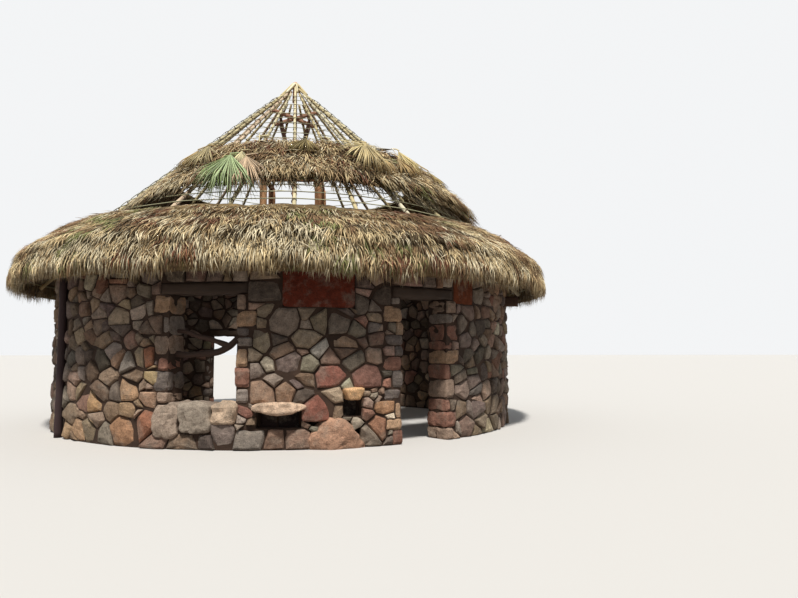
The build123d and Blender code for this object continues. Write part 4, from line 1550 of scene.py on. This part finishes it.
jamb_choices = [(150, 138, 128), (118, 108, 102), (168, 144, 126), (190, 156, 126), (152, 112, 96)]
jamb_paints = [jamb_choices[chance.integers(0, len(jamb_choices))] for _ in jambs]
add_blocks("jamb_stones", jambs, jamb_paints, "rubble", (), 5, 6.5, 0.036, 61)

# %% [markdown]
# Three of the stones have a shape of their own that everybody would notice: the great
# boulder falls away to both ends, the long ledge is a thin lens, and the short ledge
# narrows downwards. Each is one function that pulls the rounded cube into shape.

# %% Forms of the single stones
def domed(along, up, out):
    """A boulder: its height falls from a crest left of the middle with the 1.7th power
    of the distance along, and its front draws in towards both ends."""
    away = np.abs(along + 0.12)
    crown = np.clip(1 - 0.62 * away**1.7, 0.2, 1)
    front = np.where(out > 0, 1 - 0.35 * away**2, 1)
    return np.stack([along, (up + 1) * crown - 1, out * front], -1)


def lens(along, up, out):
    """A slab that thins from the middle towards both ends, below more than above."""
    thin = 1 - 0.72 * np.abs(along) ** 2.2
    front = np.where(out > 0, 1 - 0.4 * np.abs(along) ** 2.5, 1)
    return np.stack([along, np.where(up < 0, up * thin, up * (0.4 + 0.6 * thin)), out * front], -1)


def wedge(along, up, out):
    """A block that narrows downwards to rather more than half its width."""
    return np.stack([along * (0.79 + 0.21 * up), up, out * (0.9 + 0.1 * up)], -1)


print("forms of stones:", domed.__name__, lens.__name__, wedge.__name__)

# %% [markdown]
# Their places and sizes follow the CAD nodes that they stand for. A table keeps them
# together, because they differ only in numbers.

# %% Single stones and panels
def feature_row(start, end, low, high, inner, outer):
    """A block's row from its limits."""
    length = math.radians(end - start) * (inner + outer) / 4
    middle = ((start + end) / 2, (low + high) / 2, (inner + outer) / 2)
    return middle + (length, (high - low) / 2, (outer - inner) / 2)


# Piece, slot, nodes, steps, power, roughness, seed, form and rows. A row is two
# azimuths, two heights, two radii and a paint. The niches' backs are painted dark, as
# painted shade under the ledges.
single_blocks = [
    (
        *("sill_blocks", "block_stone", ["window_sill"], 10, 5.5, 0.055, 63, None),
        [
            (-26.6, -21.2, 0.20, 0.72, 4.88, 5.10, (180, 160, 142)),
            (-24.0, -20.9, 0.56, 0.76, 4.54, 5.05, (166, 148, 132)),
            (-21.2, -14.9, 0.27, 0.765, 4.86, 5.11, (170, 156, 140)),
            (-21.0, -15.2, 0.56, 0.755, 4.54, 5.00, (154, 138, 124)),
            (-15.0, -9.9, 0.42, 0.77, 4.54, 5.12, (208, 182, 156)),
        ],
    ),
    (
        *("great_boulder", "block_stone", ["base_boulder"], 16, 4.0, 0.04, 65, domed),
        [(2.9, 14.3, -0.06, 0.51, 4.70, 5.15, (194, 152, 126))],
    ),
    (
        *("ledge", "block_stone", ["ledge_stone"], 16, 4.2, 0.055, 67, lens),
        [(-6.9, 2.2, 0.575, 0.79, 4.77, 5.27, (228, 196, 168))],
    ),
    (
        *("small_ledge", "block_stone", ["small_ledge_stone"], 10, 6.0, 0.02, 69, wedge),
        [(9.5, 13.9, 0.79, 1.0, 4.77, 5.17, (244, 196, 146))],
    ),
    # painted shade: dark slabs at the backs of the niches under the ledges
    (
        *("niche_stones", "rubble", (), 8, 8.0, 0.025, 68, None),
        [
            (-6.0, -2.6, 0.33, 0.60, 4.74, 4.80, (58, 48, 46)),
            (-2.7, 1.6, 0.33, 0.60, 4.74, 4.795, (48, 40, 40)),
            (10.2, 13.2, 0.51, 0.82, 4.74, 4.80, (50, 42, 40)),
        ],
    ),
    (
        *("red_clay_panel", "red_clay", ["red_panel"], 16, 14.0, 0.012, 73, None),
        [(-1.9, 12.0, 2.34, 3.02, 4.94, 5.012, (118, 58, 43))],
    ),
    (
        *("side_clay_panel", "red_clay", ["side_panel"], 16, 14.0, 0.012, 75, None),
        [(36.5, 43.5, 2.50, 3.18, 4.94, 5.012, (130, 74, 50))],
    ),
]
for name, slot, replaced, *settings, rows in single_blocks:
    block_rows, paints = [feature_row(*row[:6]) for row in rows], [row[6] for row in rows]
    add_blocks(name, block_rows, paints, slot, replaced, *settings)

# %% [markdown]
# The CAD wall itself stays in view: between the stones it shows as mortar. Nothing has
# to be built for that, its nodes only get the finish of brown earth.

# %% Mortar
walls = [
    node
    for name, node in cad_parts.items()
    if name.startswith("wall_") and name != "wall_plate" or name == "window_apron"
]
for node in walls:
    node.data.materials.clear()
    node.data.materials.append(mortar)
print("lengths of wall with mortar", len(walls))

# %% [markdown]
# The timbers are round poles and a few squared beams, none of them straight. A bevelled
# curve would give each one, but not its squared section or its knots. So each is a ring
# of points carried along its line, thinned towards one end and roughened by noise. The
# place of every corner in its own log, round the heart and along it, is stored with
# the mesh, so that the wood's fibre runs along each log in any direction.

# %% Logs
fibre_stretch = 12


def straight(start, end, steps):
    """Evenly spaced points from each start to each end."""
    share = np.linspace(0, 1, steps)[:, None]
    start, end = np.asarray(start, dtype=float), np.asarray(end, dtype=float)
    return start[..., None, :] * (1 - share) + end[..., None, :] * share


def crooked(paths, amount, size, seed):
    """Paths moved sideways by noise, which fades to nothing at both ends: it is
    multiplied by the square root of the sine of the share of the way."""
    share = np.linspace(0, math.pi, paths.shape[-2])
    fade = np.sqrt(np.clip(np.sin(share), 0, 1))[:, None]
    sway = np.stack([noise(paths, size, seed + axis) for axis in range(3)], -1)
    return paths + sway * fade * amount


def fibre_places(paths, radii, sides, offset):
    """Place of each corner in its own log: across the heart as it lies, and along it
    a twelfth of the way, so that any even noise is drawn out twelve times."""
    steps = np.linalg.norm(np.diff(paths, axis=-2), axis=-1)
    along = np.cumsum(steps, axis=-1) / fibre_stretch
    along = np.concatenate([np.zeros(steps.shape[:-1] + (1,)), along], -1)
    turn = even_turns(sides)
    radii = np.broadcast_to(radii, along.shape)[..., None]
    lengthwise = np.repeat(along[..., None], sides, axis=-1)
    body = np.stack([radii * np.cos(turn), radii * np.sin(turn), lengthwise], -1)
    body = body.reshape(paths.shape[:-2] + (-1, 3))
    heart = np.stack([0 * along, 0 * along, along], -1)
    every = np.concatenate([body, heart[..., :1, :], heart[..., -1:, :]], axis=-2)
    return every + np.asarray(offset)[:, None, None]


def add_logs(
    name, paths, radii, paints, replaced,
    sides=10, rough=0.006, power=2.0, flat=1.0, shade=1.0,
):
    """One piece of many logs of equally many points. Paints are one per log, and shade
    may darken or lighten each ring of each log."""
    paths = np.asarray(paths, dtype=float)
    count, steps = paths.shape[:2]
    radii = np.broadcast_to(radii, (count, steps))
    corners = tube_corners(paths, radii, sides, False, rough, 81, power, flat)
    quads, caps = tube_faces(steps, sides)
    quads, caps = outward(corners[0] - paths[0].mean(axis=0), quads, caps)
    ring_shade = np.broadcast_to(np.asarray(shade, dtype=float), (count, steps))
    ends = ring_shade[:, [0, -1]] * 0.8
    corner_shade = np.concatenate([np.repeat(ring_shade, sides, axis=1), ends], axis=1)
    paints = np.broadcast_to(np.asarray(paints, dtype=float), (count, 3))
    colours = paints[:, None, :] * corner_shade[..., None]
    return add_piece(
        name, corners.reshape(-1, 3),
        repeat_faces(quads, count, corners.shape[1]),
        repeat_faces(caps, count, corners.shape[1]), colours.reshape(-1, 3), timber,
        replaced,
        fibre=fibre_places(paths, radii, sides, np.arange(count) * 3.7).reshape(-1, 3),
    )


print("along its log the fibre is drawn out", fibre_stretch, "times")

# %% [markdown]
# Twenty-four peeled poles run from the apex to beyond the wall. Eight of them reach the
# centre pole and the others stop where they would run into their neighbours, as in the
# CAD model. They are thinner at the top, and each has its own shade of cream. Straight
# cylinders would give the hut away as a drawing, so every pole sways a little.

# %% Rafter poles
rafter_steps = 46
pole_paints = [(240, 226, 184), (226, 208, 160), (246, 236, 204), (214, 190, 142), (232, 206, 176)]
for number, side in enumerate(quarters):
    turns = np.radians(number * 90 + (np.arange(6) - 3) * 15.0)
    starts = np.array([0.121, 0.38, 0.38, 0.051, 0.38, 0.38])
    top_radius, top_height = on_slope(starts, 0)
    tail_radius, tail_height = on_slope(np.full(6, rafter_tail), 0)
    paths = straight(
        place(turns, top_radius, top_height), place(turns, tail_radius, tail_height), rafter_steps
    )
    paths = crooked(paths, 0.022, 0.9, 83)
    thickness = 0.028 + 0.020 * np.linspace(0, 1, rafter_steps) ** 0.7
    knots = (1 + 0.06 * noise(paths, 0.16, 85)) * chance.uniform(0.82, 1.0, 6)[:, None]
    add_logs(
        f"poles_{side}", paths, thickness * knots,
        [paint_value(*pole_paints[chance.integers(0, len(pole_paints))]) for _ in turns],
        [f"rafters_{side}"], sides=9, rough=0.003,
        shade=0.86 + 0.2 * noise(paths, 0.11, 87),
    )

# %% [markdown]
# Canes as thick as a finger are tied across the poles, ring above ring. The frame's
# boxes give the lowest of them, and their spacing is even. They sag a little between
# the poles, and every few metres one cane ends and the next begins, which shows as a
# change of shade; a cut in the mesh would cost more and show no better.

# %% Canes
cane_count, cane_sides, cane_points = 27, 4, 120
cane_step = 0.26 * math.cos(pitch)
cane_runs = rafter_tail - 0.048 - cane_step * np.arange(cane_count)
cane_turn = even_turns(cane_points)
cane_size = np.where(cane_runs > 2.6, 0.010, 0.007)
sag = 0.006 * np.abs(np.sin(cane_turn * rafter_count / 2))[None, :]
wander = noise(place(cane_turn[None, :], cane_runs[:, None], 4.0), 0.7, 91) * 0.018
cane_radius, cane_height = on_slope(
    cane_runs[:, None] + wander, rafter_radius + cane_size[:, None] - sag
)
cane_paths = place(cane_turn[None, :], cane_radius, cane_height)
cane_sizes = np.repeat(cane_size[:, None], cane_points, axis=1)
cane_corners = tube_corners(cane_paths, cane_sizes, cane_sides, True)
cane_quads, none = outward(cane_corners[0], *tube_faces(cane_points, cane_sides, True))
cane_shift = chance.uniform(0, 2 * math.pi, cane_count)[:, None]
cane_part = np.floor((cane_turn[None, :] + cane_shift) * cane_runs[:, None] / 3.2).astype(int)
cane_shade = 0.7 + 0.5 * corner_value(cane_part, np.arange(cane_count)[:, None], 0 * cane_part, 5)
cane_tints = paint_value(186, 182, 146) * np.repeat(cane_shade, cane_sides, axis=1)[..., None]
across = np.arange(cane_sides)
cane_fibre = np.stack(
    [
        np.tile(np.cos(across) * 0.01, (cane_count, cane_points)),
        np.tile(np.sin(across) * 0.01, (cane_count, cane_points)),
        np.repeat(cane_turn[None, :] * cane_runs[:, None] / fibre_stretch, cane_sides, axis=1),
    ],
    -1,
)
add_piece(
    "cane_rings", cane_corners.reshape(-1, 3),
    repeat_faces(cane_quads, cane_count, cane_points * cane_sides),
    none, cane_tints.reshape(-1, 3), timber,
    ["battens_lower", "battens_middle", "battens_upper"],
    fibre=cane_fibre.reshape(-1, 3),
)

# %% [markdown]
# Crossings of pole and cane are tied with dark cord. Where the roof is bare the ties
# show as a regular row of dark bands on the pale poles, so only those are made. A tie
# goes round many times; one oval loop, leaning to one side or the other, stands for it.

# %% Ties
gap_run, edge_run = 3.75, 4.68
bare = (cane_runs < middle_top_radius + 0.1) | ((cane_runs > gap_run) & (cane_runs < edge_run))
tie_runs, tie_turns = np.meshgrid(cane_runs, even_turns(rafter_count) - math.pi, indexing="ij")
tied = bare[:, None] | (left_thin(tie_turns) > 0.5) & (tie_runs < edge_run)
tie_runs, tie_turns = tie_runs[tied], tie_turns[tied]
tie_radius, tie_height = on_slope(tie_runs, 0.010)
tie_middle = place(tie_turns, tie_radius, tie_height)
sideways = place(tie_turns + math.pi / 2, 1.0, 0.0)
down_roof = place(tie_turns, math.cos(pitch), -math.sin(pitch))
off_roof = place(tie_turns, math.sin(pitch), math.cos(pitch))
tie_points, tie_sides = 10, 4
loop_turn = even_turns(tie_points)
lean = chance.choice([-0.45, 0.45], len(tie_runs)) + chance.normal(0, 0.15, len(tie_runs))
lean = lean[:, None]
wide = sideways * np.cos(lean) + down_roof * np.sin(lean)
tie_size = 0.036 + 0.018 * (tie_runs / rafter_tail)[:, None, None]
tie_paths = (
    tie_middle[:, None, :]
    + wide[:, None, :] * tie_size * np.cos(loop_turn)[:, None]
    + off_roof[:, None, :] * (tie_size + 0.005) * np.sin(loop_turn)[:, None]
)
tie_corners = tube_corners(tie_paths, np.full(tie_paths.shape[:2], 0.008), tie_sides, True)
tie_quads, none = outward(
    tie_corners[0] - tie_paths[0].mean(axis=0), *tube_faces(tie_points, tie_sides, True)
)
tie_shade = chance.uniform(0.6, 1.3, len(tie_paths))[:, None] * paint_value(92, 66, 48)
add_piece(
    "cord_ties", tie_corners.reshape(-1, 3),
    repeat_faces(tie_quads, len(tie_paths), tie_corners.shape[1]),
    none,
    np.repeat(tie_shade, tie_corners.shape[1], axis=0),
    timber, fibre=tie_corners.reshape(-1, 3),
)
print("ties", len(tie_runs))

# %% [markdown]
# Inside stands the centre pole, with four squared arms and their braces near its top,
# and round the top lie the tied tips of the rafter poles. All this shows against the
# light through the bare part of the roof, so plain cylinders would not do. A raised
# power turns the same ring of corners into a squared beam.

# %% Centre pole, arms and tips
tip_turns = np.radians(7.5 + 45.0 * np.arange(8))
tip_radius, tip_height = on_slope(np.full(8, 0.34), 0.02)
tip_paths = straight(
    place(tip_turns, tip_radius, tip_height), place(tip_turns + 0.5, 0.052, rafter_apex + 0.045), 8
)
tip_paints = [paint_value(*pole_paints[number % len(pole_paints)]) for number in range(8)]
add_logs("pole_tips", tip_paths, 0.027, tip_paints, (), sides=9, rough=0.003)
pole_top, pole_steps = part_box("centre_pole")[1][2], 60
pole_path = crooked(straight([[0, 0, 0]], [[0, 0, pole_top]], pole_steps), 0.012, 1.2, 93)
add_logs(
    "middle_pole", pole_path,
    0.05 * (1 - 0.12 * np.linspace(0, 1, pole_steps)),
    [paint_value(206, 150, 122)],
    ["centre_pole"], sides=14, rough=0.004,
    shade=0.9 + 0.25 * noise(pole_path * [1, 1, 0.8], 0.12, 95),
)
arm_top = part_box("collar_arms")[1][2]
arm_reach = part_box("collar_arms")[1][0] * math.sqrt(2) - 0.035
arm_turns = np.radians(45 + 90.0 * np.arange(4))
arm_paths = straight(
    place(arm_turns, 0.045, arm_top - 0.04), place(arm_turns, arm_reach - 0.02, arm_top - 0.04), 8
)
add_logs(
    "roof_arms", arm_paths, 0.036, [paint_value(196, 150, 124)], ["collar_arms"],
    sides=16, rough=0.004, power=8.0, flat=1.14,
)
brace_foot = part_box("collar_braces")[0][2] + 0.10
brace_paths = straight(
    place(arm_turns, 0.05, brace_foot), place(arm_turns, 0.515, arm_top - 0.085), 10
)
# the braces are painted dark: painted shade, as they stand against the light
add_logs(
    "arm_braces", crooked(brace_paths, 0.01, 0.4, 97), 0.034, [paint_value(86, 62, 50)],
    ["collar_braces"], sides=10, rough=0.005, power=3.0,
)
print("arms reach", round(arm_reach, 2), "m at", round(arm_top, 2), "m")

# %% [markdown]
# Round the pole stands a tower of four thick posts. Two squared rails run along two of
# its sides, and two more lie across them and clamp the pole. Rails placed one by one
# could drift apart, so each pair is worked out from the tower's turn.

# %% Tower
tower_turn, tower_radius = 38, 0.9
post_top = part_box("tower_posts")[1][2]
post_turns = np.radians(tower_turn + 90.0 * np.arange(4))
post_paths = straight(
    place(post_turns, tower_radius, 0.0), place(post_turns, tower_radius, post_top), 40
)
add_logs(
    "tower_logs", crooked(post_paths, 0.025, 1.5, 99),
    0.085 * (1 + 0.05 * noise(post_paths, 0.3, 101)),
    paint_rows([(214, 156, 112), (224, 166, 120), (196, 144, 106), (210, 160, 116)]),
    ["tower_posts"], sides=14, rough=0.008,
    shade=0.9 + 0.2 * noise(post_paths, 0.2, 103),
)
rail_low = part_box("tower_rails")[0][2] + 0.05
rail_half, rail_rise = 0.806, 0.1
rail_starts, rail_ends = [], []
for layer, offset in enumerate((tower_radius / math.sqrt(2), 0.105)):
    across = math.radians(tower_turn - 45 + 90 * layer)
    square_off = np.array([math.cos(across), math.sin(across), 0])
    along_rail = np.array([-math.sin(across), math.cos(across), 0])
    for side in (-1, 1):
        middle = square_off * offset * side + np.array([0, 0, rail_low + layer * rail_rise])
        rail_starts.append(middle - along_rail * rail_half)
        rail_ends.append(middle + along_rail * rail_half)
add_logs(
    "tower_rail_beams", straight(rail_starts, rail_ends, 12), 0.054,
    paint_rows([(190, 136, 100), (204, 150, 112), (176, 128, 96), (196, 144, 104)]),
    ["tower_rails"], sides=16, rough=0.006, power=7.0, flat=0.91,
)
print("rails lie", round(rail_low, 2), "m up")

# %% [markdown]
# On the wall lies a ring of dark curved logs that carries the poles, and a rough post
# stands under the eave on the left. One bent tube could be the whole ring, but twelve
# logs, each with its own shade, look laid by hand.

# %% Plate and post
plate_low, plate_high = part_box("wall_plate")
plate_thick = 0.08
plate_ring = plate_high[0] - plate_thick
plate_middle = (plate_low[2] + plate_high[2]) / 2
plate_steps, plate_count = 22, 12
plate_turns = np.linspace(0.1, 29.8, plate_steps)[None, :]
plate_turns = np.radians(30.0 * np.arange(plate_count)[:, None] + plate_turns)
plate_paths = place(plate_turns, plate_ring, plate_middle)
add_logs(
    "plate_logs", crooked(plate_paths, 0.012, 0.8, 105),
    plate_thick * (0.97 + 0.05 * noise(plate_paths, 0.4, 107)),
    [paint_value(104, 84, 68) * (0.7 + 0.5 * chance.random()) for _ in range(plate_count)],
    ["wall_plate"], sides=10, rough=0.006,
)
eave_post_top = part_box("eave_post")[1][2]
eave_post_ring = 5.078
post_turn = math.radians(-58)
eave_post_path = straight(
    [place(post_turn, eave_post_ring, 0.0)], [place(post_turn, eave_post_ring, eave_post_top)], 34
)
add_logs(
    # the post is painted dark: painted shade of the eave over it
    "eave_post_log", crooked(eave_post_path, 0.02, 1.0, 109),
    0.073 * (1 + 0.08 * noise(eave_post_path, 0.25, 111)),
    [paint_value(66, 52, 52)],
    ["eave_post"], sides=14, rough=0.008,
)
print("wall plate at", round(plate_middle, 2), "m, post", round(eave_post_top, 2), "m high")

# %% [markdown]
# A forked branch is wedged across the window, and no rule could guess its bends. A few
# points of each of its two arms are listed, and a smooth line goes through them.

# %% Forked branch
def smooth_path(points, steps):
    """A line through a few points: each stretch between two of them is a cubic whose
    slopes at its ends are half the way from the point before to the point after."""
    points = np.asarray(points, dtype=float)
    padded = np.concatenate([2 * points[:1] - points[1:2], points, 2 * points[-1:] - points[-2:-1]])
    place_along = np.linspace(0, len(points) - 1, steps)
    part = np.minimum(place_along.astype(int), len(points) - 2)
    share = (place_along - part)[:, None]
    before, start, end, after = (padded[part + shift] for shift in range(4))
    slope_start, slope_end = (end - before) / 2, (after - start) / 2
    return (
        start * (2 * share**3 - 3 * share**2 + 1)
        + slope_start * (share**3 - 2 * share**2 + share)
        + end * (3 * share**2 - 2 * share**3)
        + slope_end * (share**3 - share**2)
    )


window_middle = -17.15
branch_ring = wall_radius - 0.225
branch_steps = 30
branch_lines = [
    [(-6.8, 1.56), (-4.0, 1.545), (-0.5, 1.57), (2.4, 1.60), (4.6, 1.69), (6.8, 1.85)],
    [(-6.8, 1.955), (-4.5, 1.93), (-2.0, 1.86), (1.0, 1.80), (3.2, 1.735), (4.6, 1.69)],
]
branch_paths = []
for branch in branch_lines:
    turns, heights = np.radians(window_middle + np.array(branch)[:, 0]), np.array(branch)[:, 1]
    branch_paths.append(smooth_path(place(turns, branch_ring, heights), branch_steps))
branch_paths = np.array(branch_paths)
thinning = np.linspace(0, 1, branch_steps)
branch_radii = np.stack([0.048 + 0.012 * thinning, 0.034 + 0.014 * thinning])
add_logs(
    "forked_branch", branch_paths,
    branch_radii * (1 + 0.12 * noise(branch_paths, 0.12, 113)),
    [paint_value(74, 58, 50)],
    ["window_branch"], sides=12, rough=0.010,
)
print("branch of", len(branch_paths), "arms,", branch_steps, "points each")

# %% [markdown]
# Over each opening lie four beams side by side, bent with the wall, because one
# straight lintel would leave the curve. The end of one more squared beam comes out
# through the wall on the right, under the eave.

# %% Lintels and beam end
beam_rows = 4
beam_width = (wall_radius + 0.02 - wall_inner) / beam_rows
for name, (start, end, _, high) in openings.items():
    rest = math.degrees(lintel_rest / wall_radius)
    turns = np.radians(np.linspace(start - rest, end + rest, 18))[None, :]
    rings = wall_inner + beam_width * (np.arange(beam_rows) + 0.5)[:, None]
    add_logs(
        f"{name}_lintel_beams", place(turns, rings, high + lintel_rise / 2),
        beam_width / 2 - 0.002,
        [paint_value(74, 61, 52) * (0.8 + 0.4 * chance.random()) for _ in range(beam_rows)],
        [f"{name}_lintel"], sides=16, rough=0.012, power=6.0,
        flat=(lintel_rise / 2 - 0.004) / (beam_width / 2),
    )
beam_low, beam_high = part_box("beam_end")
beam_turn = math.radians(70)
beam_reach = 5.32
beam_middle = (beam_low[2] + beam_high[2]) / 2
beam_start = place(beam_turn, wall_inner - 0.01, beam_middle)
beam_path = straight([beam_start], [place(beam_turn, beam_reach, beam_middle)], 12)
add_logs(
    "through_beam", beam_path, 0.112, [paint_value(92, 70, 58)], ["beam_end"],
    sides=16, rough=0.010, power=8.0,
)

# %% [markdown]
# The last cell prints how many triangles the new pieces have in all.

# %% Sizes and finish
print("triangles added", sum(pieces_made.values()))
